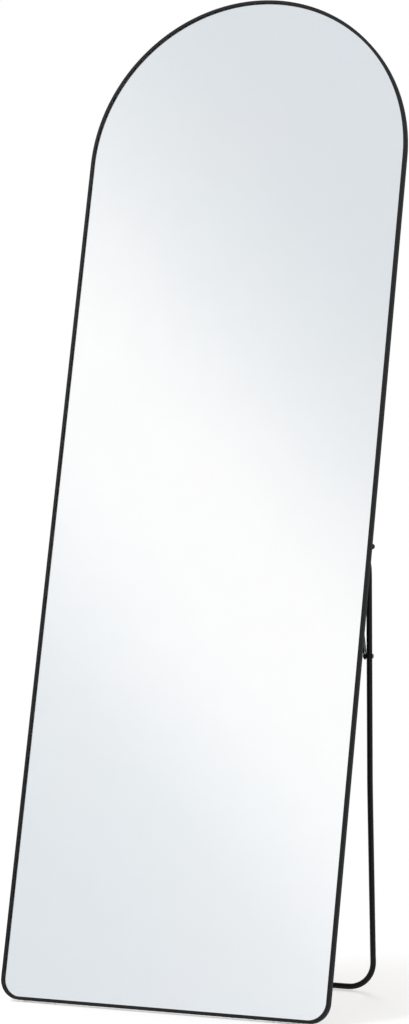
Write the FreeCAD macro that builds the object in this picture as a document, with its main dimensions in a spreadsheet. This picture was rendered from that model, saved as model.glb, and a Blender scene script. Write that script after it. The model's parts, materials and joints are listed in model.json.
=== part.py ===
"""Arched floor mirror on a folding U-shaped stand.

The mirror leans back on the pads under its frame and on the foot bar of its stand. Lengths are millimetres
and angles degrees. X runs to the right, Y to the back and Z up, and the origin lies on the floor under the
middle of the object. Most pieces are drawn in the mirror's own plane, with X across, Y up the glass and Z
out of its face, and are then leaned back with it.
"""

import FreeCAD
import Part
import Sketcher
import math
import os

SIZES = {
    # Outline of the mirror, measured up its face
    "mirror_height": 1800,
    "mirror_width": 600,
    "corner_radius": 36,
    "lean": 15,
    # Frame channel: a front lip, a side wall and a rear flange, and a bottom rail that closes it
    "lip_width": 5.5,
    "flange_width": 12,
    "channel_wall": 1.3,
    "edge_round": 0.5,
    "seam": 0.1,
    # Sheets that fill the channel, from the front: glass, film, corrugated cardboard and board
    "glass_thickness": 4,
    "film_thickness": 0.3,
    "cardboard_thickness": 2.1,
    "board_thickness": 3,
    # Splices inside the channel at both ends of the bottom rail
    "splice_length": 80,
    "splice_thickness": 1.2,
    "splice_play": 0.1,
    "splice_clearance": 0.3,
    "rivet_diameter": 3.2,
    "rivet_head_diameter": 6,
    "rivet_head_height": 0.5,
    "rivet_spacing": 40,
    # Clear rubber pads under the frame, between its lower corners and the joints of the bottom rail
    "pad_length": 60,
    "pad_depth": 7,
    "pad_rise": 1,
    "pad_to_corner": 9,
    "pad_to_joint": 45,
    # Bent steel brackets on the rear flange, and the screws that hold them
    "bracket_plate": 2,
    "bracket_corner": 3,
    "bracket_margin": 2,
    "screw_margin": 7,
    "screw_diameter": 3.5,
    "screw_play": 0.2,
    "screw_bite": 2.2,
    "screw_head_diameter": 6,
    "screw_head_height": 2,
    "recess_width": 0.9,
    "recess_span": 3.2,
    "recess_depth": 1,
    # Stand hinge
    "pivot_height": 810,
    "opening_angle": 21,
    "hinge_ear_radius": 9,
    "hinge_screw_spacing": 44,
    "bolt_diameter": 6,
    "bolt_play": 0.05,
    "bolt_head_diameter": 11,
    "bolt_head_height": 8.4,
    "bolt_crown": 8.6,
    "bolt_tail": 1.5,
    "hex_key": 4,
    "hex_key_depth": 2,
    "washer_diameter": 12,
    "washer_thickness": 1,
    "running_gap": 0.3,
    "nut_width": 10,
    "nut_height": 4,
    "nut_collar_diameter": 8.6,
    "nut_collar_height": 2,
    # Stand of bent tube with flattened ends
    "tube_diameter": 10,
    "tube_wall": 1.2,
    "leg_inset": 12,
    "leg_draw_in": 11,
    "foot_draw_in": 5.7,
    "knee_rise": 361,
    "knee_bend_radius": 3000,
    "foot_bend_radius": 48,
    "neck_bend_radius": 120,
    "neck_bend_drop": 10,
    "lug_thickness": 3,
    "lug_width": 15,
    "lug_length": 14,
    "lug_clearance": 1.5,
    "lug_edge_ease": 0.5,
    "neck_length": 26,
    "sleeve_wall": 1.5,
    "sleeve_length": 50,
    "sleeve_to_bend": 28,
    # Slotted stays that hold the stand open
    "anchor_drop": 70,
    "anchor_ear_radius": 7,
    "anchor_screw_spacing": 34,
    "slide_drop": 190,
    "stay_width": 12,
    "stay_thickness": 2,
    "slot_play": 0.7,
    "slot_end_play": 0.3,
    "pin_diameter": 5,
    "pin_play": 0.05,
    "pin_head_diameter": 9,
    "pin_head_height": 1.2,
    "pin_collar_diameter": 8,
    # Hanger brackets on the back, for a hook on the wall
    "hanger_drop": 80,
    "hanger_rise": 6,
    "hanger_tongue": 20,
    "hanger_hole": 8,
    "hanger_screw_spacing": 18,
}

DOC = FreeCAD.newDocument("floor_mirror")
SHEET = DOC.addObject("Spreadsheet::Sheet", "Dims")
for row, (alias, number) in enumerate(SIZES.items(), start=1):
    SHEET.set(f"A{row}", alias)
    SHEET.set(f"B{row}", str(number))
    SHEET.setAlias(f"B{row}", alias)
DOC.recompute()

PIECES = []
CUTS = []


# Sizes that know both their number and their expression


class Size:
    """A length or angle: its value now, and the expression that binds a feature to the sheet."""

    def __init__(self, text, value):
        self.text = text
        self.value = float(value)

    def __add__(self, other):
        other = as_size(other)
        return Size(f"({self.text} + {other.text})", self.value + other.value)

    def __sub__(self, other):
        other = as_size(other)
        return Size(f"({self.text} - {other.text})", self.value - other.value)

    def __mul__(self, other):
        other = as_size(other)
        return Size(f"({self.text} * {other.text})", self.value * other.value)

    def __truediv__(self, other):
        other = as_size(other)
        return Size(f"({self.text} / {other.text})", self.value / other.value)

    def __neg__(self):
        return Size(f"(0 - {self.text})", -self.value)

    def __rsub__(self, other):
        return as_size(other) - self


def as_size(number):
    return number if isinstance(number, Size) else Size(repr(number), number)


def size(name):
    return Size(f"Dims.{name}", SHEET.get(name))


def sine(angle):
    return Size(f"sin({angle.text})", math.sin(math.radians(angle.value)))


def cosine(angle):
    return Size(f"cos({angle.text})", math.cos(math.radians(angle.value)))


def tangent(angle):
    return Size(f"tan({angle.text})", math.tan(math.radians(angle.value)))


def slope_angle(rise, run):
    ratio = rise / run
    return Size(f"(atan({ratio.text}) / 1deg)", math.degrees(math.atan(ratio.value)))


def root(square):
    return Size(f"sqrt({square.text})", math.sqrt(square.value))


def bind(feature, property_name, number):
    feature.setExpression(property_name, as_size(number).text)


# Sketches, features and places


def origin_feature(body, role):
    return next(part for part in body.Origin.OriginFeatures if part.Role == role)


def new_body(name):
    return DOC.addObject("PartDesign::Body", name)


def new_sketch(body, name, plane, across=0, up=0, lift=0):
    """A sketch on one of the body's origin planes, shifted in that plane and lifted along its normal."""
    sketch = body.newObject("Sketcher::SketchObject", f"{body.Name}_{name}")
    sketch.AttachmentSupport = [(origin_feature(body, plane), "")]
    sketch.MapMode = "FlatFace"
    for axis, shift in zip("xyz", (across, up, lift)):
        bind(sketch, f"AttachmentOffset.Base.{axis}", shift)
    return sketch


def hold(sketch, kind, places, number):
    """Adds a dimension to a sketch and binds it to the sheet."""
    index = sketch.addConstraint(Sketcher.Constraint(kind, *places, number.value))
    bind(sketch, f"Constraints[{index}]", number)


def hold_point(sketch, edge, end, across, up):
    hold(sketch, "DistanceX", (edge, end), as_size(across))
    hold(sketch, "DistanceY", (edge, end), as_size(up))


def arc_between(start, finish, radius):
    """The arc of under a half turn from start to finish, clockwise if the radius is below zero."""
    middle = (start + finish) / 2
    chord = finish - start
    side = FreeCAD.Vector(-chord.y, chord.x, 0).normalize()
    reach = math.sqrt(max(radius * radius - chord.Length**2 / 4, 0))
    centre = middle + side * math.copysign(reach, radius)
    first, last = (start, finish) if radius > 0 else (finish, start)
    angles = [math.atan2(point.y - centre.y, point.x - centre.x) for point in (first, last)]
    circle = Part.Circle(centre, FreeCAD.Vector(0, 0, 1), abs(radius))
    return Part.ArcOfCircle(circle, *angles)


def draw(sketch, corners, closed=True):
    """Joins corners by lines, or by an arc where a corner also gives the radius of the arc that reaches it.

    A radius below zero turns clockwise. Each corner and radius is bound to the sheet.
    """
    corners = [tuple(as_size(number) for number in corner) for corner in corners]
    points = [FreeCAD.Vector(corner[0].value, corner[1].value, 0) for corner in corners]
    count = len(corners) if closed else len(corners) - 1
    ends = []
    for step in range(count):
        after = (step + 1) % len(corners)
        radius = corners[after][2] if len(corners[after]) == 3 else None
        if radius is None:
            edge = sketch.addGeometry(Part.LineSegment(points[step], points[after]))
            ends.append((edge, 1, 2))
            continue
        edge = sketch.addGeometry(arc_between(points[step], points[after], radius.value))
        ends.append((edge, 1, 2) if radius.value > 0 else (edge, 2, 1))
        hold(sketch, "Radius", (edge,), radius if radius.value > 0 else -radius)
    for step, (edge, begin, end) in enumerate(ends):
        hold_point(sketch, edge, begin, *corners[step][:2])
        if closed or step + 1 < count:
            following = ends[(step + 1) % count]
            sketch.addConstraint(Sketcher.Constraint("Coincident", edge, end, following[0], following[1]))
    if not closed:
        edge, begin, end = ends[-1]
        hold_point(sketch, edge, end, *corners[-1][:2])


def draw_circle(sketch, across, up, radius):
    across, up, radius = as_size(across), as_size(up), as_size(radius)
    centre = FreeCAD.Vector(across.value, up.value, 0)
    edge = sketch.addGeometry(Part.Circle(centre, FreeCAD.Vector(0, 0, 1), radius.value))
    hold_point(sketch, edge, 3, across, up)
    hold(sketch, "Radius", (edge,), radius)


def rectangle(left, low, right, high):
    return [(left, low), (right, low), (right, high), (left, high)]


def rounded_rectangle(left, low, right, high, radius):
    return [
        (left + radius, low, radius),
        (right - radius, low),
        (right, low + radius, radius),
        (right, high - radius),
        (right - radius, high, radius),
        (left + radius, high),
        (left, high - radius, radius),
        (left, low + radius),
    ]


def hexagon(width):
    """Corners of a hexagon with the given width across its flats."""
    corner = width / 2 / cosine(as_size(30))
    return [(corner * cosine(as_size(60 * k)), corner * sine(as_size(60 * k))) for k in range(6)]


def pad(body, sketch, length):
    feature = body.newObject("PartDesign::Pad", f"{sketch.Name}_pad")
    feature.Profile = sketch
    bind(feature, "Length", length)
    return feature


def pocket(body, sketch, length, along_normal=False):
    feature = body.newObject("PartDesign::Pocket", f"{sketch.Name}_cut")
    feature.Profile = sketch
    feature.Reversed = along_normal
    bind(feature, "Length", length)
    CUTS.append(feature)
    return feature


def revolve(body, sketch, axis):
    feature = body.newObject("PartDesign::Revolution", f"{sketch.Name}_turn")
    feature.Profile = sketch
    feature.ReferenceAxis = (sketch, [axis])
    feature.Angle = 360
    return feature


def pipe(body, section, path):
    feature = body.newObject("PartDesign::AdditivePipe", f"{section.Name}_pipe")
    feature.Profile = section
    feature.Spine = path
    return feature


def loft(body, first, last):
    feature = body.newObject("PartDesign::AdditiveLoft", f"{first.Name}_loft")
    feature.Profile = first
    feature.Sections = [last]
    return feature


def mirror_whole(body):
    """Adds the other half of a piece that is alike on the left and the right, once this half is made."""
    DOC.recompute()
    feature = body.newObject("PartDesign::Mirrored", f"{body.Name}_both_sides")
    feature.TransformMode = "Whole shape"
    feature.MirrorPlane = (origin_feature(body, "YZ_Plane"), [""])
    body.Tip = feature


def repeat_whole(body, axis, spacing):
    """Adds one copy of everything made so far in the body, a spacing further along an axis."""
    DOC.recompute()
    feature = body.newObject("PartDesign::LinearPattern", f"{body.Name}_pair")
    feature.TransformMode = "Whole shape"
    feature.Direction = (origin_feature(body, axis), [""])
    feature.Occurrences = 2
    bind(feature, "Length", spacing)
    body.Tip = feature


def place(piece, up, back, turn):
    """Puts a piece at a height and depth, turned about the X axis."""
    piece.Placement = FreeCAD.Placement(
        FreeCAD.Vector(0, back.value, up.value), FreeCAD.Rotation(FreeCAD.Vector(1, 0, 0), turn.value)
    )
    bind(piece, "Placement.Base.y", back)
    bind(piece, "Placement.Base.z", up)
    bind(piece, "Placement.Rotation.Angle", turn)


def keep(piece, label):
    """Names a finished piece, which is then written to a file of that name."""
    piece.Label = label
    PIECES.append(piece)
    return piece


def keep_pair(piece, label):
    """Keeps a right-hand piece and its left-hand mirror image."""
    keep(piece, f"{label}_right")
    other = DOC.addObject("Part::Mirroring", f"{label}_other")
    other.Source = piece
    other.Normal = FreeCAD.Vector(1, 0, 0)
    keep(other, f"{label}_left")


# Shared places. Depth is measured back from the front face of the frame, along the normal of the glass.

lean = size("lean")
half_width = size("mirror_width") / 2
spring_height = size("mirror_height") - half_width
channel_wall = size("channel_wall")
film_front = channel_wall + size("glass_thickness")
cardboard_front = film_front + size("film_thickness")
board_front = cardboard_front + size("cardboard_thickness")
inner_face = board_front + size("board_thickness")
frame_depth = inner_face + channel_wall
sheet_inset = channel_wall + size("splice_thickness") + size("splice_clearance")
pad_outer = half_width - size("corner_radius") - size("pad_to_corner")
pad_inner = pad_outer - size("pad_length")
rail_end = pad_inner - size("pad_to_joint")
plate = size("bracket_plate")
screw_across = half_width - (channel_wall + size("flange_width")) / 2
screw_radius = size("screw_diameter") / 2
screw_hole_radius = screw_radius + size("screw_play")
screw_length = plate + channel_wall + size("screw_bite")
running_gap = size("running_gap")
hanger_height = spring_height - size("hanger_drop")

origin_back = -(size("mirror_height") * sine(lean) + frame_depth * cosine(lean)) / 2
origin_up = frame_depth * sine(lean) + size("pad_rise")

half_lug = size("lug_width") / 2
lug_half = size("lug_thickness") / 2
tube_radius = size("tube_diameter") / 2
foot_radius = tube_radius + size("sleeve_wall")
pivot_depth = frame_depth + plate + half_lug + size("lug_clearance")

# Layers of the hinge, from the side of the frame inwards: leg, washer, ear
leg_across = half_width - size("leg_inset")
hinge_washer_across = leg_across - lug_half - running_gap - size("washer_thickness")
hinge_ear_across = hinge_washer_across - plate


def back_of(height, depth):
    """World Y of a point given by its height up the mirror and its depth behind the front face."""
    return origin_back + height * sine(lean) + depth * cosine(lean)


def up_of(height, depth):
    """World Z of the same point."""
    return origin_up + height * cosine(lean) - depth * sine(lean)


pivot_back = back_of(size("pivot_height"), pivot_depth)
pivot_up = up_of(size("pivot_height"), pivot_depth)
leg_tilt = size("opening_angle") - lean
leg_length = (pivot_up - foot_radius) / cosine(leg_tilt)

# The stand's legs run straight down from their flattened ends, draw in to a slight knee, and from there draw
# in less to the foot bar
knee_across = leg_across - size("leg_draw_in")
foot_across = knee_across - size("foot_draw_in")
flat_end = -size("lug_length")
round_end = flat_end - size("neck_length")
neck = round_end - size("neck_bend_drop")
knee = size("knee_rise") - leg_length
taper = slope_angle(size("leg_draw_in"), neck - knee)
foot_taper = slope_angle(size("foot_draw_in"), size("knee_rise"))

# The stay turns on its anchor while the pin in the leg runs along its slot
anchor_height = size("pivot_height") - size("anchor_drop")
slide_drop = size("slide_drop")
anchor_drop = size("anchor_drop")


def stay_reach(opening):
    """Distance from the anchor to the slide pin at an opening angle of the stand."""
    return root(
        anchor_drop * anchor_drop + slide_drop * slide_drop - anchor_drop * slide_drop * 2 * cosine(opening)
    )


def stay_angle(opening):
    """Angle between the stay and the glass at an opening angle of the stand."""
    return slope_angle(slide_drop * sine(opening), slide_drop * cosine(opening) - anchor_drop)


opened = size("opening_angle")
half_opened = opened / 2
pin_drift = stay_reach(half_opened) * sine(stay_angle(half_opened) - stay_angle(opened) / 2)

leg_across_at_slide = leg_across - (slide_drop + neck) * tangent(taper)

# Layers of the stay, from the leg inwards: collar of the slide pin, stay, anchor ear
pin_inner = leg_across_at_slide - tube_radius - running_gap
pin_outer = leg_across_at_slide + tube_radius + running_gap
rivet_head_across = pin_inner - size("pin_head_height")
stay_across = rivet_head_across - running_gap - size("stay_thickness")
anchor_ear_across = stay_across - running_gap - plate


def place_on_mirror(piece):
    place(piece, origin_up, origin_back, 90 - lean)


def place_on_pivot(piece):
    place(piece, pivot_up, pivot_back, 90 - lean)


def place_on_stand(piece):
    place(piece, pivot_up, pivot_back, leg_tilt + 90)


def place_on_anchor(piece, turn):
    place(piece, up_of(anchor_height, pivot_depth), back_of(anchor_height, pivot_depth), turn)


# Frame channel


def channel_section(body, name, lift):
    """Section of the channel, lying on its outer wall: the lip in front and the wider flange behind."""
    section = new_sketch(body, name, "YZ_Plane", lift=lift)
    lip = size("lip_width")
    flange = size("flange_width")
    edge = size("edge_round")
    draw(
        section,
        [
            (edge, 0),
            (0, -edge, edge),
            (0, edge - frame_depth),
            (edge, -frame_depth, edge),
            (flange, -frame_depth),
            (flange, -inner_face),
            (channel_wall, -inner_face),
            (channel_wall, -channel_wall),
            (lip, -channel_wall),
            (lip, 0),
        ],
    )
    return section


def arch_path(body):
    """Outer edge of the frame from one end of the bottom rail, up, over the arch and down to the other."""
    path = new_sketch(body, "path", "XY_Plane")
    corner = size("corner_radius")
    draw(
        path,
        [
            (-rail_end, 0),
            (corner - half_width, 0),
            (-half_width, corner, -corner),
            (-half_width, spring_height),
            (0, size("mirror_height"), -half_width),
            (half_width, spring_height, -half_width),
            (half_width, corner),
            (half_width - corner, 0, -corner),
            (rail_end, 0),
        ],
        closed=False,
    )
    return path


def arch_outline(sketch, inset):
    """Closed outline of a sheet inside the frame, a given distance in from the frame's outer edge."""
    side = half_width - inset
    corner = size("corner_radius") - inset
    draw(
        sketch,
        [
            (corner - side, inset, corner),
            (side - corner, inset),
            (side, inset + corner, corner),
            (side, spring_height),
            (0, spring_height + side, side),
            (-side, spring_height, side),
            (-side, inset + corner),
        ],
    )


def bracket_screw_points():
    """Where the screws of the brackets enter the rear flange, on the right and the left."""
    rows = (
        (size("pivot_height"), size("hinge_screw_spacing")),
        (anchor_height, size("anchor_screw_spacing")),
        (hanger_height, size("hanger_screw_spacing")),
    )
    return [
        (across, height + spacing * share)
        for across in (screw_across, -screw_across)
        for height, spacing in rows
        for share in (-0.5, 0.5)
    ]


def rivet_points():
    """Distance from the middle of the bottom rail to the rivets, inside and outside the rail's end."""
    half_spacing = size("rivet_spacing") / 2
    return rail_end - half_spacing, rail_end + half_spacing


def make_frame():
    """Long bent channel and short bottom rail, with the holes for rivets and bracket screws."""
    inner_rivet, outer_rivet = rivet_points()
    rivet_radius = size("rivet_diameter") / 2

    arch = new_body("arch_channel")
    pipe(arch, channel_section(arch, "section", -rail_end), arch_path(arch))
    rivet_holes = new_sketch(arch, "rivet_holes", "XZ_Plane")
    for across in (outer_rivet, -outer_rivet):
        draw_circle(rivet_holes, across, -frame_depth / 2, rivet_radius)
    pocket(arch, rivet_holes, channel_wall)
    screw_holes = new_sketch(arch, "screw_holes", "XY_Plane", lift=-inner_face)
    for across, height in bracket_screw_points():
        draw_circle(screw_holes, across, height, screw_radius)
    pocket(arch, screw_holes, channel_wall)
    place_on_mirror(arch)
    keep(arch, "frame_arch")

    rail = new_body("bottom_channel")
    rail_start = rail_end - size("seam")
    pad(rail, channel_section(rail, "section", -rail_start), rail_start * 2)
    rivet_holes = new_sketch(rail, "rivet_holes", "XZ_Plane")
    for across in (inner_rivet, -inner_rivet):
        draw_circle(rivet_holes, across, -frame_depth / 2, rivet_radius)
    pocket(rail, rivet_holes, channel_wall)
    place_on_mirror(rail)
    keep(rail, "frame_bottom_rail")


def make_splices():
    """Flat strips inside the channel that bridge the two joints of the frame."""
    splice = new_body("splice")
    play = size("splice_play")
    top = channel_wall + size("splice_thickness")
    half_length = size("splice_length") / 2
    strip = new_sketch(splice, "strip", "XZ_Plane", lift=-top)
    draw(
        strip,
        rectangle(rail_end - half_length, play - inner_face, rail_end + half_length, -channel_wall - play),
    )
    for across in rivet_points():
        draw_circle(strip, across, -frame_depth / 2, size("rivet_diameter") / 2)
    pad(splice, strip, size("splice_thickness"))
    place_on_mirror(splice)
    keep_pair(splice, "frame_splice")


def make_rivets():
    """Flat-headed rivets from below through the channel wall and the splices."""
    rivets = new_body("rivets")
    inner_rivet, outer_rivet = rivet_points()
    half = new_sketch(rivets, "half", "XY_Plane", across=inner_rivet, lift=-frame_depth / 2)
    shank = size("rivet_diameter") / 2
    head = size("rivet_head_diameter") / 2
    rim = size("rivet_head_height") / 2
    draw(
        half,
        [
            (0, -rim * 2),
            (shank, -rim * 2),
            (head, -rim),
            (head, 0),
            (shank, 0),
            (shank, channel_wall + size("splice_thickness")),
            (0, channel_wall + size("splice_thickness")),
        ],
    )
    revolve(rivets, half, "V_Axis")
    repeat_whole(rivets, "X_Axis", size("rivet_spacing"))
    mirror_whole(rivets)
    place_on_mirror(rivets)
    keep(rivets, "splice_rivets")


# Sheets held in the channel


def make_sheets():
    """Mirror glass, safety film, cardboard and back board, filling the channel from front to back."""
    layers = (
        ("mirror_glass", channel_wall, film_front),
        ("safety_film", film_front, cardboard_front),
        ("cardboard_sheet", cardboard_front, board_front),
        ("back_board", board_front, inner_face),
    )
    for label, front, back in layers:
        sheet = new_body(label)
        outline = new_sketch(sheet, "outline", "XY_Plane", lift=-back)
        arch_outline(outline, sheet_inset)
        pad(sheet, outline, back - front)
        if label == "back_board":
            holes = new_sketch(sheet, "screw_holes", "XY_Plane", lift=-inner_face)
            for across, height in bracket_screw_points():
                draw_circle(holes, across, height, screw_radius)
            pocket(sheet, holes, size("screw_bite"), along_normal=True)
        place_on_mirror(sheet)
        keep(sheet, label)


def make_pads():
    """Clear rubber wedges under the bottom rail, with a level underside for the floor."""
    wedge = new_body("wedge")
    rear = size("pad_rise") / cosine(lean)
    front = (size("pad_rise") + size("pad_depth") * sine(lean)) / cosine(lean)
    edge = size("edge_round")
    section = new_sketch(wedge, "section", "YZ_Plane", lift=pad_inner)
    draw(
        section,
        [
            (0, size("pad_depth") - frame_depth),
            (-front, size("pad_depth") - frame_depth),
            (-rear - edge * tangent(lean), edge - frame_depth),
            (0, edge - frame_depth),
        ],
    )
    pad(wedge, section, size("pad_length"))
    place_on_mirror(wedge)
    keep_pair(wedge, "floor_pad")


# Brackets on the rear flange


def make_angle_bracket(name, height, screw_spacing, base, ear_across, ear_radius, hole_radius):
    """A bent plate on the right of the flange, with an upright ear on the hinge line."""
    bracket = new_body(name)
    base_left, base_right = base
    low = height - screw_spacing / 2 - size("screw_margin")
    high = height + screw_spacing / 2 + size("screw_margin")
    footprint = new_sketch(bracket, "footprint", "XY_Plane", lift=-frame_depth - plate)
    draw(footprint, rounded_rectangle(base_left, low, base_right, high, size("bracket_corner")))
    pad(bracket, footprint, plate)
    ear = new_sketch(bracket, "ear", "YZ_Plane", lift=ear_across)
    draw(
        ear,
        [
            (height + ear_radius, -frame_depth),
            (height - ear_radius, -frame_depth),
            (height - ear_radius, -pivot_depth),
            (height, -pivot_depth - ear_radius, ear_radius),
            (height + ear_radius, -pivot_depth, ear_radius),
        ],
    )
    pad(bracket, ear, plate)
    hole = new_sketch(bracket, "hole", "YZ_Plane", lift=ear_across + plate)
    draw_circle(hole, height, -pivot_depth, hole_radius)
    pocket(bracket, hole, plate)
    screw_holes = new_sketch(bracket, "screw_holes", "XY_Plane", lift=-frame_depth)
    for share in (-0.5, 0.5):
        draw_circle(screw_holes, screw_across, height + screw_spacing * share, screw_hole_radius)
    pocket(bracket, screw_holes, plate)
    place_on_mirror(bracket)
    return bracket


def make_hinge_brackets():
    bracket = make_angle_bracket(
        "hinge_plate",
        size("pivot_height"),
        size("hinge_screw_spacing"),
        (hinge_ear_across, half_width - size("bracket_margin")),
        hinge_ear_across,
        size("hinge_ear_radius"),
        size("bolt_diameter") / 2,
    )
    keep_pair(bracket, "hinge_bracket")


def make_stay_anchors():
    bracket = make_angle_bracket(
        "anchor_plate",
        anchor_height,
        size("anchor_screw_spacing"),
        (anchor_ear_across, half_width - size("bracket_margin")),
        anchor_ear_across,
        size("anchor_ear_radius"),
        size("pin_diameter") / 2,
    )
    keep_pair(bracket, "stay_anchor")


def make_hangers():
    """Stepped plates on the flange, each with a raised tongue and a hole for a wall hook."""
    hanger = new_body("hanger_plate")
    spacing = size("hanger_screw_spacing")
    half_length = spacing / 2 + size("screw_margin")
    step_in = half_width - size("flange_width") - plate
    step_out = half_width - size("flange_width")
    tip = step_in - size("hanger_tongue")
    tongue = frame_depth + size("hanger_rise")
    section = new_sketch(hanger, "section", "XZ_Plane", lift=-hanger_height - half_length)
    draw(
        section,
        [
            (half_width - size("bracket_margin"), -frame_depth),
            (step_in, -frame_depth),
            (step_in, -tongue),
            (tip, -tongue),
            (tip, -tongue - plate),
            (step_out, -tongue - plate),
            (step_out, -frame_depth - plate),
            (half_width - size("bracket_margin"), -frame_depth - plate),
        ],
    )
    pad(hanger, section, half_length * 2)
    hook_hole = new_sketch(hanger, "hook_hole", "XY_Plane", lift=-tongue)
    draw_circle(hook_hole, step_in - size("hanger_tongue") / 2, hanger_height, size("hanger_hole") / 2)
    pocket(hanger, hook_hole, plate)
    screw_holes = new_sketch(hanger, "screw_holes", "XY_Plane", lift=-frame_depth)
    for share in (-0.5, 0.5):
        draw_circle(screw_holes, screw_across, hanger_height + spacing * share, screw_hole_radius)
    pocket(hanger, screw_holes, plate)
    place_on_mirror(hanger)
    keep_pair(hanger, "hanger_bracket")


def make_bracket_screws(label, height, spacing):
    """Pan-head screws with a cross recess: two above each other, on both sides of the mirror."""
    screws = new_body(label)
    seat = frame_depth + plate
    lowest = height - spacing / 2
    half = new_sketch(screws, "half", "XZ_Plane", across=screw_across, up=-seat, lift=-lowest)
    head = size("screw_head_diameter") / 2
    head_height = size("screw_head_height")
    draw(
        half,
        [
            (0, screw_length),
            (0, -head_height),
            (head / 2, -head_height),
            (head, -head_height / 2, head_height),
            (head, 0),
            (screw_radius, 0),
            (screw_radius, screw_length),
        ],
    )
    revolve(screws, half, "V_Axis")
    top = -seat - head_height
    recess = new_sketch(screws, "recess", "XY_Plane", across=screw_across, up=lowest, lift=top)
    arm = size("recess_width") / 2
    tip = size("recess_span") / 2
    draw(
        recess,
        [
            (tip, arm),
            (arm, arm),
            (arm, tip),
            (-arm, tip),
            (-arm, arm),
            (-tip, arm),
            (-tip, -arm),
            (-arm, -arm),
            (-arm, -tip),
            (arm, -tip),
            (arm, -arm),
            (tip, -arm),
        ],
    )
    pocket(screws, recess, size("recess_depth"), along_normal=True)
    repeat_whole(screws, "Y_Axis", spacing)
    mirror_whole(screws)
    place_on_mirror(screws)
    keep(screws, label)


# Hinge line of the stand, drawn about the pivot


def make_pivot_bolts():
    """Bolts with a tall round head and a hex socket, head outwards, through the leg and the bracket's ear."""
    bolt = new_body("bolt")
    washer_outer = leg_across + lug_half + running_gap + size("washer_thickness")
    tail = hinge_ear_across - size("nut_height") - size("nut_collar_height") - size("bolt_tail")
    shank = size("bolt_diameter") / 2
    head = size("bolt_head_diameter") / 2
    crown = size("bolt_head_height")
    half = new_sketch(bolt, "half", "XY_Plane")
    draw(
        half,
        [
            (tail, 0),
            (washer_outer + crown, 0),
            (washer_outer + crown, head / 2),
            (washer_outer + crown / 4, head, size("bolt_crown")),
            (washer_outer, head),
            (washer_outer, shank),
            (tail, shank),
        ],
    )
    revolve(bolt, half, "H_Axis")
    socket = new_sketch(bolt, "socket", "YZ_Plane", lift=washer_outer + crown)
    draw(socket, hexagon(size("hex_key")))
    pocket(bolt, socket, size("hex_key_depth"))
    place_on_pivot(bolt)
    keep_pair(bolt, "pivot_bolt")


def draw_ring(sketch, outer, inner):
    draw_circle(sketch, 0, 0, outer)
    draw_circle(sketch, 0, 0, inner)


def make_pivot_washers():
    """Nylon washers on both faces of each flattened leg end."""
    washers = new_body("washers")
    outer = size("washer_diameter") / 2
    bore = size("bolt_diameter") / 2
    thickness = size("washer_thickness")
    seats = (hinge_washer_across, leg_across + lug_half + running_gap)
    for name, seat in zip(("inner", "outer"), seats):
        ring = new_sketch(washers, name, "YZ_Plane", lift=seat)
        draw_ring(ring, outer, bore)
        pad(washers, ring, thickness)
    mirror_whole(washers)
    place_on_pivot(washers)
    keep(washers, "pivot_washers")


def make_lock_nuts():
    """Hexagon nuts with a round locking collar, on the inner face of the brackets' ears."""
    nuts = new_body("nuts")
    flank = hinge_ear_across - size("nut_height")
    bore = size("bolt_diameter") / 2
    flats = new_sketch(nuts, "flats", "YZ_Plane", lift=flank)
    draw(flats, hexagon(size("nut_width")))
    draw_circle(flats, 0, 0, bore)
    pad(nuts, flats, size("nut_height"))
    collar = new_sketch(nuts, "collar", "YZ_Plane", lift=flank - size("nut_collar_height"))
    draw_ring(collar, size("nut_collar_diameter") / 2, bore)
    pad(nuts, collar, size("nut_collar_height"))
    mirror_whole(nuts)
    place_on_pivot(nuts)
    keep(nuts, "pivot_lock_nuts")


# Stand, drawn in its own plane with the hinge line along X


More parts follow.
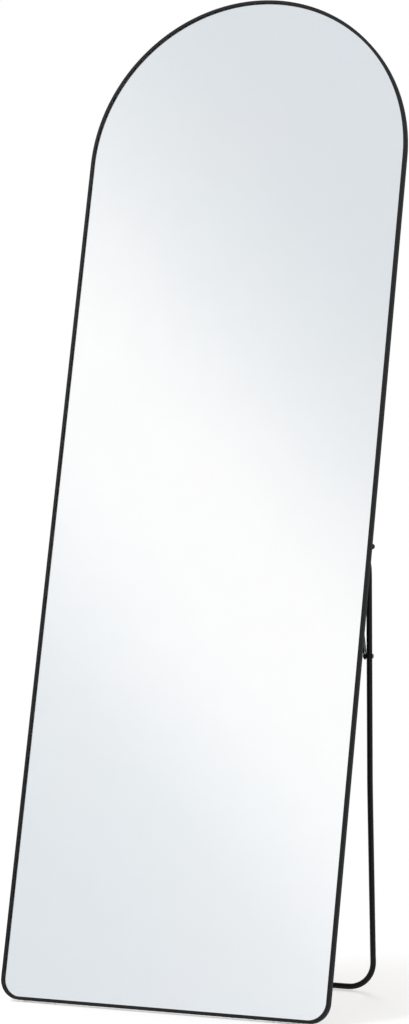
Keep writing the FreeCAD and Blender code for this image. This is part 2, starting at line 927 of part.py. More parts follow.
def make_stand():
    """One tube bent to a U, its ends pressed flat and drilled for the pivots and the slide pins."""
    stand = new_body("stand")
    bar = -leg_length
    foot_run = size("foot_bend_radius") * tangent((90 - foot_taper) / 2)
    knee_run = size("knee_bend_radius") * tangent((taper - foot_taper) / 2)
    neck_run = size("neck_bend_radius") * tangent(taper / 2)

    path = new_sketch(stand, "path", "XY_Plane")
    draw(
        path,
        [
            (0, bar),
            (foot_across - foot_run, bar),
            (
                foot_across + foot_run * sine(foot_taper),
                bar + foot_run * cosine(foot_taper),
                size("foot_bend_radius"),
            ),
            (knee_across - knee_run * sine(foot_taper), knee - knee_run * cosine(foot_taper)),
            (knee_across + knee_run * sine(taper), knee + knee_run * cosine(taper), -size("knee_bend_radius")),
            (leg_across - neck_run * sine(taper), neck - neck_run * cosine(taper)),
            (leg_across, neck + neck_run, size("neck_bend_radius")),
            (leg_across, round_end),
        ],
        closed=False,
    )
    ring = new_sketch(stand, "ring", "YZ_Plane", across=bar)
    draw_ring(ring, tube_radius, tube_radius - size("tube_wall"))
    pipe(stand, ring, path)

    # The neck blends from the round tube to the flat end
    circle = new_sketch(stand, "neck_round", "XZ_Plane", across=leg_across, lift=-round_end)
    diagonal = tube_radius * cosine(as_size(45))
    draw(
        circle,
        [
            (diagonal, -diagonal, tube_radius),
            (diagonal, diagonal, tube_radius),
            (-diagonal, diagonal, tube_radius),
            (-diagonal, -diagonal, tube_radius),
        ],
    )
    flat = new_sketch(stand, "neck_flat", "XZ_Plane", across=leg_across, lift=-flat_end)
    edge = lug_half + size("lug_edge_ease")
    shoulder = half_lug - edge + root(edge * edge - lug_half * lug_half)
    draw(
        flat,
        [
            (lug_half, -shoulder, edge),
            (lug_half, shoulder),
            (-lug_half, shoulder, edge),
            (-lug_half, -shoulder),
        ],
    )
    loft(stand, circle, flat)
    lug = new_sketch(stand, "lug", "YZ_Plane", lift=leg_across - lug_half)
    draw(
        lug,
        [
            (flat_end, -half_lug),
            (0, -half_lug),
            (half_lug, 0, half_lug),
            (0, half_lug, half_lug),
            (flat_end, half_lug),
        ],
    )
    pad(stand, lug, size("lug_thickness"))

    bolt_hole = new_sketch(stand, "bolt_hole", "YZ_Plane", lift=leg_across + lug_half)
    draw_circle(bolt_hole, 0, 0, size("bolt_diameter") / 2 + size("bolt_play"))
    pocket(stand, bolt_hole, size("lug_thickness"))
    pin_hole = new_sketch(stand, "pin_hole", "YZ_Plane", lift=leg_across_at_slide + size("tube_diameter"))
    draw_circle(pin_hole, -slide_drop, 0, size("pin_diameter") / 2)
    pocket(stand, pin_hole, size("tube_diameter") * 2)
    mirror_whole(stand)
    place_on_stand(stand)
    keep(stand, "stand_tube")


def make_foot_sleeves():
    """Rubber sleeves on the foot bar, which meet the floor."""
    sleeve = new_body("sleeve")
    start = foot_across - size("foot_bend_radius") - size("sleeve_to_bend") - size("sleeve_length")
    ring = new_sketch(sleeve, "ring", "YZ_Plane", across=-leg_length, lift=start)
    draw_ring(ring, foot_radius, tube_radius)
    pad(sleeve, ring, size("sleeve_length"))
    place_on_stand(sleeve)
    keep_pair(sleeve, "foot_sleeve")


def make_slide_pins():
    """Headed pins through the legs, each with a collar that carries the slotted end of a stay."""
    pins = new_body("pins")
    shank = size("pin_diameter") / 2
    head = size("pin_head_diameter") / 2
    collar = size("pin_collar_diameter") / 2
    head_height = size("pin_head_height")
    tail = stay_across - running_gap
    half = new_sketch(pins, "half", "XY_Plane", up=-slide_drop)
    draw(
        half,
        [
            (tail - head_height, 0),
            (pin_outer + head_height, 0),
            (pin_outer + head_height, collar),
            (pin_outer, collar),
            (pin_outer, shank),
            (pin_inner, shank),
            (pin_inner, collar),
            (rivet_head_across, collar),
            (rivet_head_across, shank),
            (tail, shank),
            (tail, head),
            (tail - head_height, head),
        ],
    )
    revolve(pins, half, "H_Axis")
    mirror_whole(pins)
    place_on_stand(pins)
    keep(pins, "slide_pins")


# Stays, drawn about their anchors


def make_anchor_rivets():
    """Rivets in the anchors' ears, on which the stays turn."""
    rivets = new_body("anchor_pivots")
    shank = size("pin_diameter") / 2
    head = size("pin_head_diameter") / 2
    half = new_sketch(rivets, "half", "XY_Plane")
    draw(
        half,
        [
            (anchor_ear_across, 0),
            (pin_inner, 0),
            (pin_inner, head),
            (rivet_head_across, head),
            (rivet_head_across, shank),
            (anchor_ear_across, shank),
        ],
    )
    revolve(rivets, half, "H_Axis")
    mirror_whole(rivets)
    place_on_anchor(rivets, 90 - lean)
    keep(rivets, "anchor_rivets")


def make_stays():
    """Flat bars with a hole at the anchor and a short slot at the leg, whose ends are the stand's stops."""
    stay = new_body("stay")
    half = size("stay_width") / 2
    far = -stay_reach(opened) - size("slot_end_play")
    near = anchor_drop - slide_drop + size("slot_end_play")
    bar = new_sketch(stay, "bar", "YZ_Plane", lift=stay_across)
    draw(
        bar,
        [
            (0, half, half),
            (far, half),
            (far - half, 0, half),
            (far, -half, half),
            (0, -half),
            (half, 0, half),
        ],
    )
    pad(stay, bar, size("stay_thickness"))
    pivot = new_sketch(stay, "pivot", "YZ_Plane", lift=stay_across + size("stay_thickness"))
    draw_circle(pivot, 0, 0, size("pin_diameter") / 2 + size("pin_play"))
    pocket(stay, pivot, size("stay_thickness"))
    slot = new_sketch(stay, "slot", "YZ_Plane", lift=stay_across + size("stay_thickness"), up=-pin_drift / 2)
    side = size("pin_diameter") / 2 + size("slot_play")
    draw(
        slot,
        [
            (near, side, side),
            (far, side),
            (far - side, 0, side),
            (far, -side, side),
            (near, -side),
            (near + side, 0, side),
        ],
    )
    pocket(stay, slot, size("stay_thickness"))
    place_on_anchor(stay, 90 - lean + stay_angle(opened))
    keep_pair(stay, "stay")


def check_document():
    """Stops if a feature failed, a piece is not a sound solid, or a cut removed nothing."""
    for item in DOC.Objects:
        if "Invalid" in item.State or "Error" in item.State:
            raise RuntimeError(f"{item.Label} failed: {item.State}")
    for piece in PIECES:
        if piece.Shape.isNull() or not piece.Shape.isValid() or not piece.Shape.Solids:
            raise RuntimeError(f"{piece.Label} is not a sound solid")
    for cut in CUTS:
        if cut.BaseFeature.Shape.Volume - cut.Shape.Volume < 1:
            raise RuntimeError(f"{cut.Label} removed nothing")


def write_pieces():
    os.makedirs("parts", exist_ok=True)
    for piece in PIECES:
        piece.Shape.exportStep(f"parts/{piece.Label}.step")
        print(f"{piece.Label}: {len(piece.Shape.Solids)} solid(s), {piece.Shape.Volume / 1000:.2f} cm3")


make_frame()
make_splices()
make_rivets()
make_sheets()
make_pads()
make_hinge_brackets()
make_bracket_screws("hinge_screws", size("pivot_height"), size("hinge_screw_spacing"))
make_stay_anchors()
make_bracket_screws("anchor_screws", anchor_height, size("anchor_screw_spacing"))
make_hangers()
make_bracket_screws("hanger_screws", hanger_height, size("hanger_screw_spacing"))
make_pivot_bolts()
make_pivot_washers()
make_lock_nuts()
make_stand()
make_foot_sleeves()
make_slide_pins()
make_anchor_rivets()
make_stays()
DOC.recompute()
check_document()
write_pieces()
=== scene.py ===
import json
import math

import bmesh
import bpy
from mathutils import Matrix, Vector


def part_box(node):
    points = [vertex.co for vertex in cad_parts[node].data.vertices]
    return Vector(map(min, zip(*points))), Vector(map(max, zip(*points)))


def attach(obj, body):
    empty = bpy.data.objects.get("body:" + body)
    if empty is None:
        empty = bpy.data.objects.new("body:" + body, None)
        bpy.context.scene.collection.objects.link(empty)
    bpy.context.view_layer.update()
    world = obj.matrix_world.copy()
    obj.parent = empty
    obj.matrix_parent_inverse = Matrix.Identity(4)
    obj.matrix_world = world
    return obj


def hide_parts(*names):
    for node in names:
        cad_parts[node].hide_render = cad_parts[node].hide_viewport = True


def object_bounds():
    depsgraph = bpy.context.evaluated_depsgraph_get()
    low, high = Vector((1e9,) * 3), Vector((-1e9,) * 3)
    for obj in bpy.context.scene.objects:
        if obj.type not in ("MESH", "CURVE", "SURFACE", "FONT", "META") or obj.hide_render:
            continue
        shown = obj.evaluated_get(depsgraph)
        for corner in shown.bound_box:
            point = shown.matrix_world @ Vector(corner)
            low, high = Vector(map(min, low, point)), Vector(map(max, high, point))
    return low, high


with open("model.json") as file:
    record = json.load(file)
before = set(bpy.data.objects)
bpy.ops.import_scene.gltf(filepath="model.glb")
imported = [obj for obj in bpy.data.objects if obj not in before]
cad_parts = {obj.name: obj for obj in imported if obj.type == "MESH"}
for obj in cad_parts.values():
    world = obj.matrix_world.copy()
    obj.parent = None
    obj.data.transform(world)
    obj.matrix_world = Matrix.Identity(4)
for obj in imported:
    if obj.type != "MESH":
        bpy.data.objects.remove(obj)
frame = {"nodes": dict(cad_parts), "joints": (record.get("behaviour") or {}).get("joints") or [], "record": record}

# %% [markdown]
# # An arched floor mirror on a folding stand
#
# This lesson dresses a finished construction model of a full-length mirror: an arched sheet of
# silvered glass in a thin black channel, leaning back on a U-shaped stand of bent tube. The
# construction model gives every piece its true size and place, in metres. Here the pieces get their
# finishes, and the ones that are round, bent or repeated are made again with smoother meshes.

cad_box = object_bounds()
nodes = frame["nodes"]
joints = {joint["name"]: joint for joint in frame["joints"]}
mounts = {mount["name"]: mount for mount in frame["record"]["mounts"]}
print("Construction box:", [tuple(round(number, 4) for number in corner) for corner in cad_box])

# %% [markdown]
# ## Two planes to work in
#
# Nearly everything here is flat work on a tilted plane. It could be modelled in place with a lot of
# trigonometry, but it is easier to draw each piece upright and tilt it at the end. A matrix does
# that: the mirror's plane has X across, Y up the glass and Z out of its face, with its origin at
# the front lower edge of the frame. The stand has a plane of its own, with its origin on the hinge
# line. The lean comes from the axis of the wall-hook holes, which points straight out of the back.

# %% Planes of the mirror and of the stand
MM = 0.001
MIRROR_HEIGHT = 1800 * MM
FRAME_DEPTH = 12 * MM
PAD_RISE = 1 * MM
half_width = cad_box[1].x
back_normal = Vector(mounts["hanger_right"]["axis"])
lean = math.atan2(-back_normal.z, back_normal.y)
mirror_origin = Vector((
    0,
    -(MIRROR_HEIGHT * math.sin(lean) + FRAME_DEPTH * math.cos(lean)) / 2,
    FRAME_DEPTH * math.sin(lean) + PAD_RISE,
))
mirror_plane = Matrix.Translation(mirror_origin) @ Matrix.Rotation(math.pi / 2 - lean, 4, "X")

pivot = Vector(joints["stand_fold"]["pos_m"])
leg_tilt = math.radians(joints["stand_fold"]["range_deg"][1]) - lean
stand_plane = Matrix.Translation(pivot) @ Matrix.Rotation(math.pi / 2 + leg_tilt, 4, "X")
print(f"Lean {math.degrees(lean):.2f} degrees, leg tilt {math.degrees(leg_tilt):.2f} degrees")

# %% [markdown]
# ## Tools for nodes, colours and finished pieces
#
# Materials and Geometry Nodes are both trees of nodes, so one small function serves both: it adds a
# node, applies its settings and feeds its inputs. Colours are written as the hex values a painter
# would pick and are turned to linear light once, here.

# %% Helpers for nodes and colours
def add(tree, kind, inputs=None, **settings):
    """Adds a node with its settings. An input that is a socket is linked, and anything else is a value."""
    node = tree.nodes.new(kind)
    for name, value in settings.items():
        setattr(node, name, value)
    for key, value in (inputs or {}).items():
        if isinstance(value, bpy.types.NodeSocket):
            tree.links.new(value, node.inputs[key])
        else:
            node.inputs[key].default_value = value
    return node


def linear(hex_code):
    """Linear colour of an sRGB hex value."""
    shares = [int(hex_code[place:place + 2], 16) / 255 for place in (1, 3, 5)]
    light = [share / 12.92 if share <= 0.04045 else ((share + 0.055) / 1.055) ** 2.4 for share in shares]
    return (*light, 1.0)


def per_metre(millimetres):
    """Texture scale at which one feature of a pattern measures that many millimetres."""
    return 1 / (millimetres * MM)


def set_ramp(ramp, stops):
    """Fills a colour ramp from (place, hex value) pairs."""
    elements = ramp.color_ramp.elements
    while len(elements) < len(stops):
        elements.new(1.0)
    for element, (place, hex_code) in zip(elements, stops):
        element.position = place
        element.color = linear(hex_code)


# %% Helpers for geometry trees
def new_tree(name, inputs):
    """A geometry tree with named inputs: the tree, the sockets of its inputs and those of its output."""
    tree = bpy.data.node_groups.new(name, "GeometryNodeTree")
    tree.interface.new_socket("Geometry", in_out="INPUT", socket_type="NodeSocketGeometry")
    for label, kind in inputs.items():
        tree.interface.new_socket(label, in_out="INPUT", socket_type=f"NodeSocket{kind}")
    tree.interface.new_socket("Geometry", in_out="OUTPUT", socket_type="NodeSocketGeometry")
    return tree, tree.nodes.new("NodeGroupInput").outputs, tree.nodes.new("NodeGroupOutput").inputs


def end_tree(tree, geometry, material, output):
    """Every tree ends the same way: real mesh instead of instances, and one material on all of it."""
    real = add(tree, "GeometryNodeRealizeInstances", {"Geometry": geometry})
    painted = add(tree, "GeometryNodeSetMaterial", {"Geometry": real.outputs[0], "Material": material})
    tree.links.new(painted.outputs[0], output["Geometry"])


def new_object(name, data):
    """An object in the scene, at the origin."""
    thing = bpy.data.objects.new(name, data)
    bpy.context.scene.collection.objects.link(thing)
    return thing


def path_object(name, points):
    """A mesh of edges that join the points in order, for a tree to follow."""
    mesh = bpy.data.meshes.new(name)
    mesh.from_pydata(points, [(step, step + 1) for step in range(len(points) - 1)], [])
    return new_object(name, mesh)


def run_tree(maker, tree, values):
    """Puts a geometry tree on an object and sets its named inputs."""
    modifier = maker.modifiers.new(tree.name, "NODES")
    modifier.node_group = tree
    for item in tree.interface.items_tree:
        if item.in_out == "INPUT" and item.name in values:
            modifier[item.identifier] = values[item.name]


# %% Helpers for finished pieces
WELD = 0.001 * MM
SLIVER = 0.002 * MM
SMOOTH_ANGLE = math.radians(35)


def mesh_from(name, cells):
    """A new mesh from edited cells, which are then let go."""
    mesh = bpy.data.meshes.new(name)
    cells.to_mesh(mesh)
    cells.free()
    return mesh


def plain_mesh(maker):
    """The result of an object's modifiers as a plain mesh without slivers. The object is removed."""
    graph = bpy.context.evaluated_depsgraph_get()
    mesh = bpy.data.meshes.new_from_object(maker.evaluated_get(graph))
    bpy.data.objects.remove(maker)
    cells = bmesh.new()
    cells.from_mesh(mesh)
    bmesh.ops.dissolve_degenerate(cells, edges=cells.edges, dist=SLIVER)
    cells.to_mesh(mesh)
    cells.free()
    return mesh


def finish_piece(name, mesh, plane, body, replaced):
    """Puts a mesh in its plane, shades it, and lets it ride on its body in place of the plain solids."""
    mesh.transform(plane)
    mesh.shade_smooth()
    mesh.set_sharp_from_angle(angle=SMOOTH_ANGLE)
    mesh.name = name
    piece = new_object(name, mesh)
    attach(piece, body)
    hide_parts(*replaced)
    print(f"{name}: {len(mesh.polygons)} faces, size {tuple(round(n / MM, 1) for n in piece.dimensions)} mm")


# %% [markdown]
# ## Black powder coat on the frame
#
# The frame is aluminium channel with a baked powder coat: dry and dark, with a fine pebbled skin
# that breaks up every reflection. A flat black would look like a hole in the picture. A noise that
# shifts the colour, the gloss and the surface together gives the skin. The real grain is about
# 0.2 mm, too fine for this picture, so it is drawn at 1.4 mm.

# %% Powder coat
POWDER_GRAIN_MM = 1.4
BUMP_STRENGTH = 0.5


def new_material(name):
    """A material with its tree and its main shader."""
    material = bpy.data.materials.new(name)
    material.use_nodes = True
    return material, material.node_tree, material.node_tree.nodes["Principled BSDF"]


def roughen(tree, shader, pattern, low, high, relief_mm):
    """Lets a pattern vary the gloss between two roughness values and raise the surface by a relief."""
    gloss = add(tree, "ShaderNodeMapRange", {"Value": pattern, "To Min": low, "To Max": high})
    tree.links.new(gloss.outputs["Result"], shader.inputs["Roughness"])
    bump = add(tree, "ShaderNodeBump", {
        "Height": pattern, "Strength": BUMP_STRENGTH, "Distance": relief_mm * MM,
    })
    tree.links.new(bump.outputs["Normal"], shader.inputs["Normal"])


def black_coat(name, dark, pale, grain_mm, low, high, specular):
    """A baked or dipped black coat: its pattern shifts colour, gloss and surface together."""
    material, tree, shader = new_material(name)
    shader.inputs["Specular IOR Level"].default_value = specular
    place = add(tree, "ShaderNodeTexCoord")
    grain = add(tree, "ShaderNodeTexNoise", {
        "Vector": place.outputs["Object"], "Scale": per_metre(grain_mm), "Detail": 3.0, "Roughness": 0.6,
    })
    tone = add(tree, "ShaderNodeValToRGB", {"Fac": grain.outputs["Fac"]})
    set_ramp(tone, ((0.35, dark), (0.65, pale)))
    tree.links.new(tone.outputs["Color"], shader.inputs["Base Color"])
    roughen(tree, shader, grain.outputs["Fac"], low, high, relief_mm=0.06)
    return material


frame_black = black_coat(
    "black_powder_coat", "#262626", "#323233", POWDER_GRAIN_MM, low=0.55, high=0.75, specular=0.08
)
print("Made", frame_black.name)

# %% [markdown]
# ## Black lacquer and painted shade on the stand and its brackets
#
# The stand is steel tube dipped in a smoother black than the frame. The same recipe serves with a
# darker colour, a longer ripple like that of a flowed lacquer, and a little more gloss. The darker
# colour is partly a deeper lacquer and partly painted shade, because the stand stands behind the frame.
# The pressed steel brackets have the same coat and the same painted shade.

# %% Lacquer with painted shade
LACQUER_RIPPLE_MM = 4.0
# Base colours darker than the frame's: partly a deeper lacquer, partly painted shade for parts behind the frame.
lacquer_and_painted_shade = black_coat(
    "black_lacquer_and_painted_shade", "#141414", "#1B1B1C", LACQUER_RIPPLE_MM, low=0.32, high=0.45, specular=0.16
)
print("Made", lacquer_and_painted_shade.name)

# %% [markdown]
# ## Float glass and its silver
#
# A mirror is a pane of float glass with silver on its back. One shiny metal sheet would do from
# afar, but then the dark lip of the frame would sit right on the reflection. With the silver behind
# 4 mm of glass the lip shows twice, once itself and once mirrored, and that is the heavier dark
# line along the left side and the arch. The glass is clear, with hardly a tint, and the silver is
# an almost perfect metal.

# %% Glass and silver
MELT_CLOUD_MM = 260.0
SILVER_CLOUD_MM = 45.0
SILVER_HAZE = 0.012


def cloudy(tree, shader, cloud_mm, dark, pale):
    """Lets a slow noise shift the base colour between two close tones. Returns the noise."""
    place = add(tree, "ShaderNodeTexCoord")
    cloud = add(tree, "ShaderNodeTexNoise", {
        "Vector": place.outputs["Object"], "Scale": per_metre(cloud_mm), "Detail": 2.0,
    })
    tone = add(tree, "ShaderNodeValToRGB", {"Fac": cloud.outputs["Fac"]})
    set_ramp(tone, ((0.3, dark), (0.7, pale)))
    tree.links.new(tone.outputs["Color"], shader.inputs["Base Color"])
    return cloud.outputs["Fac"]


float_glass, tree, shader = new_material("float_glass")
shader.inputs["Roughness"].default_value = 0.0
shader.inputs["IOR"].default_value = 1.52
shader.inputs["Transmission Weight"].default_value = 1.0
cloudy(tree, shader, MELT_CLOUD_MM, "#FEFFFF", "#FFFFFF")

silver, tree, shader = new_material("mirror_silver")
shader.inputs["Metallic"].default_value = 1.0
cloud = cloudy(tree, shader, SILVER_CLOUD_MM, "#FDFDFD", "#FEFEFE")
haze = add(tree, "ShaderNodeMapRange", {"Value": cloud, "To Min": 0.0, "To Max": SILVER_HAZE})
tree.links.new(haze.outputs["Result"], shader.inputs["Roughness"])
print("Made", float_glass.name, "and", silver.name)

# %% [markdown]
# ## Bright zinc on the small hardware
#
# Screws, nuts and hangers are steel with a bright zinc plate: a cool grey metal, rubbed along the
# length of the strip before plating, with cloudy patches where the bath took differently. Noise
# stretched along one axis gives the rubbing, and a second, larger noise gives the clouds.

# %% Zinc plate
RUB_WIDTH_MM = 0.7
RUB_LENGTH_MM = 25.0
CLOUD_MM = 9.0
zinc, zinc_tree, zinc_shader = new_material("bright_zinc_plate")
zinc_shader.inputs["Metallic"].default_value = 1.0
place = add(zinc_tree, "ShaderNodeTexCoord")
stretch = (per_metre(RUB_WIDTH_MM), per_metre(RUB_WIDTH_MM), per_metre(RUB_LENGTH_MM))
laid = add(zinc_tree, "ShaderNodeMapping", {"Vector": place.outputs["Object"], "Scale": stretch})
rub = add(zinc_tree, "ShaderNodeTexNoise", {"Vector": laid.outputs["Vector"], "Scale": 1.0, "Detail": 2.0})
cloud = add(zinc_tree, "ShaderNodeTexNoise", {
    "Vector": place.outputs["Object"], "Scale": per_metre(CLOUD_MM),
})
tone = add(zinc_tree, "ShaderNodeValToRGB", {"Fac": cloud.outputs["Fac"]})
set_ramp(tone, ((0.3, "#A9AEB4"), (0.7, "#C6C8C8")))
zinc_tree.links.new(tone.outputs["Color"], zinc_shader.inputs["Base Color"])
roughen(zinc_tree, zinc_shader, rub.outputs["Fac"], low=0.28, high=0.46, relief_mm=0.02)
print("Made", zinc.name)

# %% [markdown]
# ## Hardboard, cardboard and film
#
# The back is closed with hardboard: brown wood fibre pressed flat, with darker flecks of bark and
# short pale fibres that lie every way. Two noises, each stretched along its own direction, give the
# fibres, and only the peaks of a third one give the flecks. Between it and the glass lie a sheet of
# corrugated cardboard and the blue-grey film that holds the glass if it breaks. Both are hidden,
# but each still gets what it is made of.

# %% Back board
FLECK_MM = 5.0
FIBRE_WIDTH_MM = 0.9
FIBRE_LENGTH_MM = 11.0
FIBRE_TURNS = (0.5, -0.9)
BOARD_CLOUD_MM = 140.0
hardboard, tree, shader = new_material("pressed_hardboard")
shader.inputs["Specular IOR Level"].default_value = 0.25
place = add(tree, "ShaderNodeTexCoord").outputs["Object"]
stretch = (per_metre(FIBRE_LENGTH_MM), per_metre(FIBRE_WIDTH_MM), per_metre(FIBRE_WIDTH_MM))
fibres = []
for turn in FIBRE_TURNS:
    laid = add(tree, "ShaderNodeVectorRotate", {"Vector": place, "Angle": turn, "Axis": (0.0, 1.0, 0.0)})
    drawn = add(tree, "ShaderNodeVectorMath", {0: laid.outputs["Vector"], 1: stretch}, operation="MULTIPLY")
    strand = add(tree, "ShaderNodeTexNoise", {"Vector": drawn.outputs["Vector"], "Scale": 1.0, "Detail": 3.0})
    fibres.append(strand.outputs["Fac"])
fibre = add(tree, "ShaderNodeMath", {0: fibres[0], 1: fibres[1]}, operation="MAXIMUM").outputs[0]
fleck = add(tree, "ShaderNodeTexNoise", {
    "Vector": place, "Scale": per_metre(FLECK_MM), "Detail": 4.0, "Roughness": 0.65,
})
shade = add(tree, "ShaderNodeTexNoise", {"Vector": place, "Scale": per_metre(BOARD_CLOUD_MM), "Detail": 2.0})
fibre_tone = add(tree, "ShaderNodeValToRGB", {"Fac": fibre})
set_ramp(fibre_tone, ((0.4, "#6E4D35"), (0.56, "#7C583D"), (0.72, "#93704F")))
fleck_tone = add(tree, "ShaderNodeValToRGB", {"Fac": fleck.outputs["Fac"]})
set_ramp(fleck_tone, ((0.58, "#FFFFFF"), (0.72, "#B39C88")))
shade_tone = add(tree, "ShaderNodeValToRGB", {"Fac": shade.outputs["Fac"]})
set_ramp(shade_tone, ((0.3, "#F1EDE9"), (0.7, "#FFFFFF")))
tone = fibre_tone.outputs["Color"]
for layer in (fleck_tone, shade_tone):
    tone = add(tree, "ShaderNodeMix", {
        0: 1.0, 6: tone, 7: layer.outputs["Color"],
    }, data_type="RGBA", blend_type="MULTIPLY").outputs[2]
tree.links.new(tone, shader.inputs["Base Color"])
roughen(tree, shader, fibre, low=0.55, high=0.75, relief_mm=0.08)
print("Made", hardboard.name)

# %% Sheets inside
FLUTE_MM = 6.0
cardboard, card_tree, card_shader = new_material("corrugated_cardboard")
place = add(card_tree, "ShaderNodeTexCoord")
flute = add(card_tree, "ShaderNodeTexWave", {
    "Vector": place.outputs["Object"], "Scale": per_metre(FLUTE_MM) / (2 * math.pi), "Distortion": 0.4,
})
tone = add(card_tree, "ShaderNodeValToRGB", {"Fac": flute.outputs["Fac"]})
set_ramp(tone, ((0.0, "#A98257"), (1.0, "#BC966A")))
card_tree.links.new(tone.outputs["Color"], card_shader.inputs["Base Color"])
roughen(card_tree, card_shader, flute.outputs["Fac"], low=0.8, high=0.9, relief_mm=0.1)

FILM_CLOUD_MM = 30.0
film, film_tree, film_shader = new_material("safety_film")
place = add(film_tree, "ShaderNodeTexCoord")
haze = add(film_tree, "ShaderNodeTexNoise", {
    "Vector": place.outputs["Object"], "Scale": per_metre(FILM_CLOUD_MM),
})
tone = add(film_tree, "ShaderNodeValToRGB", {"Fac": haze.outputs["Fac"]})
set_ramp(tone, ((0.3, "#8796A3"), (0.7, "#93A1AD")))
film_tree.links.new(tone.outputs["Color"], film_shader.inputs["Base Color"])
roughen(film_tree, film_shader, haze.outputs["Fac"], low=0.35, high=0.5, relief_mm=0.02)
print("Made", cardboard.name, "and", film.name)

# %% [markdown]
# ## Rubber, silicone, nylon and blackened steel
#
# The foot sleeves are moulded rubber, a dusty black with a matt mould skin. The pads under the
# frame could be black too, but clear silicone rubber hardly shows against a pale floor, so it is
# what makers put there. The washers at the hinge are black nylon, a little waxier. The pivot bolts
# and slide pins are steel blackened in an oxide bath, a dark metal with a soft oily shine.

# %% Rubber, silicone, nylon and oxide
def moulded(name, dark, pale, grain_mm, low, high, specular):
    """A moulded or dipped piece with a fine skin."""
    material, tree, shader = new_material(name)
    shader.inputs["Specular IOR Level"].default_value = specular
    place = add(tree, "ShaderNodeTexCoord")
    skin = add(tree, "ShaderNodeTexNoise", {
        "Vector": place.outputs["Object"], "Scale": per_metre(grain_mm), "Detail": 4.0,
    })
    tone = add(tree, "ShaderNodeValToRGB", {"Fac": skin.outputs["Fac"]})
    set_ramp(tone, ((0.3, dark), (0.7, pale)))
    tree.links.new(tone.outputs["Color"], shader.inputs["Base Color"])
    roughen(tree, shader, skin.outputs["Fac"], low, high, relief_mm=0.04)
    return material


rubber = moulded("moulded_rubber", "#191918", "#222221", grain_mm=0.9, low=0.7, high=0.88, specular=0.25)
nylon = moulded("black_nylon", "#1C1C1D", "#232324", grain_mm=1.6, low=0.4, high=0.5, specular=0.4)
oxide = moulded("black_oxide_steel", "#1E1E20", "#2A2A2C", grain_mm=1.2, low=0.35, high=0.5, specular=0.5)
oxide.node_tree.nodes["Principled BSDF"].inputs["Metallic"].default_value = 0.6
silicone = moulded("clear_silicone", "#EFF0EE", "#F8F9F7", grain_mm=0.9, low=0.3, high=0.42, specular=0.4)
silicone_shader = silicone.node_tree.nodes["Principled BSDF"]
silicone_shader.inputs["Transmission Weight"].default_value = 0.85
silicone_shader.inputs["IOR"].default_value = 1.41
print("Made", rubber.name, nylon.name, oxide.name, silicone.name)

# %% [markdown]
# ## The frame: one profile swept along an arch
#
# The real frame starts as a long straight channel, with a narrow front lip, a side wall and a wider
# rear flange, which is bent round the arch and the two lower corners. A short rail closes it at the
# bottom. Sweeping a profile along a path is the same idea, so Geometry Nodes do it: four corner
# points make the profile, the folds are rounded, and the profile follows the outline. The sweep
# gives the outer skin, and a Solidify modifier gives it the wall.

# %% Outline of the arch
CORNER_RADIUS = 36 * MM
ARCH_STEPS = 180
CORNER_STEPS = 24
SEAM = 0.1 * MM
spring = MIRROR_HEIGHT - half_width
rail_end = nodes["frame_bottom_rail"].dimensions.x / 2


def arc(across, up, radius, first, last, steps):
    """Points of an arc between two angles in degrees, both ends included."""
    angles = [math.radians(first + (last - first) * step / steps) for step in range(steps + 1)]
    return [(across + radius * math.cos(angle), up + radius * math.sin(angle), 0) for angle in angles]


def arch_outline(inset):
    """The mirror's outline: from the left end of its lower edge up, over the arch and down again."""
    corner = CORNER_RADIUS - inset
    side = half_width - CORNER_RADIUS
    return [
        *arc(-side, CORNER_RADIUS, corner, 270, 180, CORNER_STEPS),
        *arc(0, spring, half_width - inset, 180, 0, ARCH_STEPS),
        *arc(side, CORNER_RADIUS, corner, 0, -90, CORNER_STEPS),
    ]


arch_path = [(-rail_end - SEAM, 0, 0), *arch_outline(0), (rail_end + SEAM, 0, 0)]
rail_path = [(rail_end, 0, 0), (-rail_end, 0, 0)]
print(f"Arch path of {len(arch_path)} points, bottom rail {2 * rail_end:.4f} m long")

# %% Tree that sweeps the channel
FOLD_STEPS = 5
channel_tree, sizes, result = new_tree("Swept channel", {
    "Lip width": "Float", "Flange width": "Float", "Depth": "Float", "Fold radius": "Float",
    "Finish": "Material",
})
corner_points = (
    add(channel_tree, "ShaderNodeCombineXYZ", {"X": sizes["Lip width"]}),
    add(channel_tree, "ShaderNodeCombineXYZ"),
    add(channel_tree, "ShaderNodeCombineXYZ", {"Y": sizes["Depth"]}),
    add(channel_tree, "ShaderNodeCombineXYZ", {"X": sizes["Flange width"], "Y": sizes["Depth"]}),
)
line = add(channel_tree, "GeometryNodeMeshLine", {"Count": len(corner_points)})
pick = add(channel_tree, "GeometryNodeIndexSwitch", data_type="VECTOR")
while len(pick.index_switch_items) < len(corner_points):
    pick.index_switch_items.new()
channel_tree.links.new(add(channel_tree, "GeometryNodeInputIndex").outputs[0], pick.inputs["Index"])
for step, point in enumerate(corner_points):
    channel_tree.links.new(point.outputs[0], pick.inputs[step + 1])
bent = add(channel_tree, "GeometryNodeSetPosition", {
    "Geometry": line.outputs[0], "Position": pick.outputs[0],
})
profile = add(channel_tree, "GeometryNodeMeshToCurve", {"Mesh": bent.outputs[0]})
folded = add(channel_tree, "GeometryNodeFilletCurve", {
    "Curve": profile.outputs[0], "Count": FOLD_STEPS, "Radius": sizes["Fold radius"],
}, mode="POLY")
route = add(channel_tree, "GeometryNodeMeshToCurve", {"Mesh": sizes["Geometry"]})
level = add(channel_tree, "GeometryNodeSetCurveNormal", {"Curve": route.outputs[0]}, mode="Z_UP")
sweep = add(channel_tree, "GeometryNodeCurveToMesh", {
    "Curve": level.outputs[0], "Profile Curve": folded.outputs[0],
})
end_tree(channel_tree, sweep.outputs[0], sizes["Finish"], result)
print("Channel tree with", len(channel_tree.nodes), "nodes")

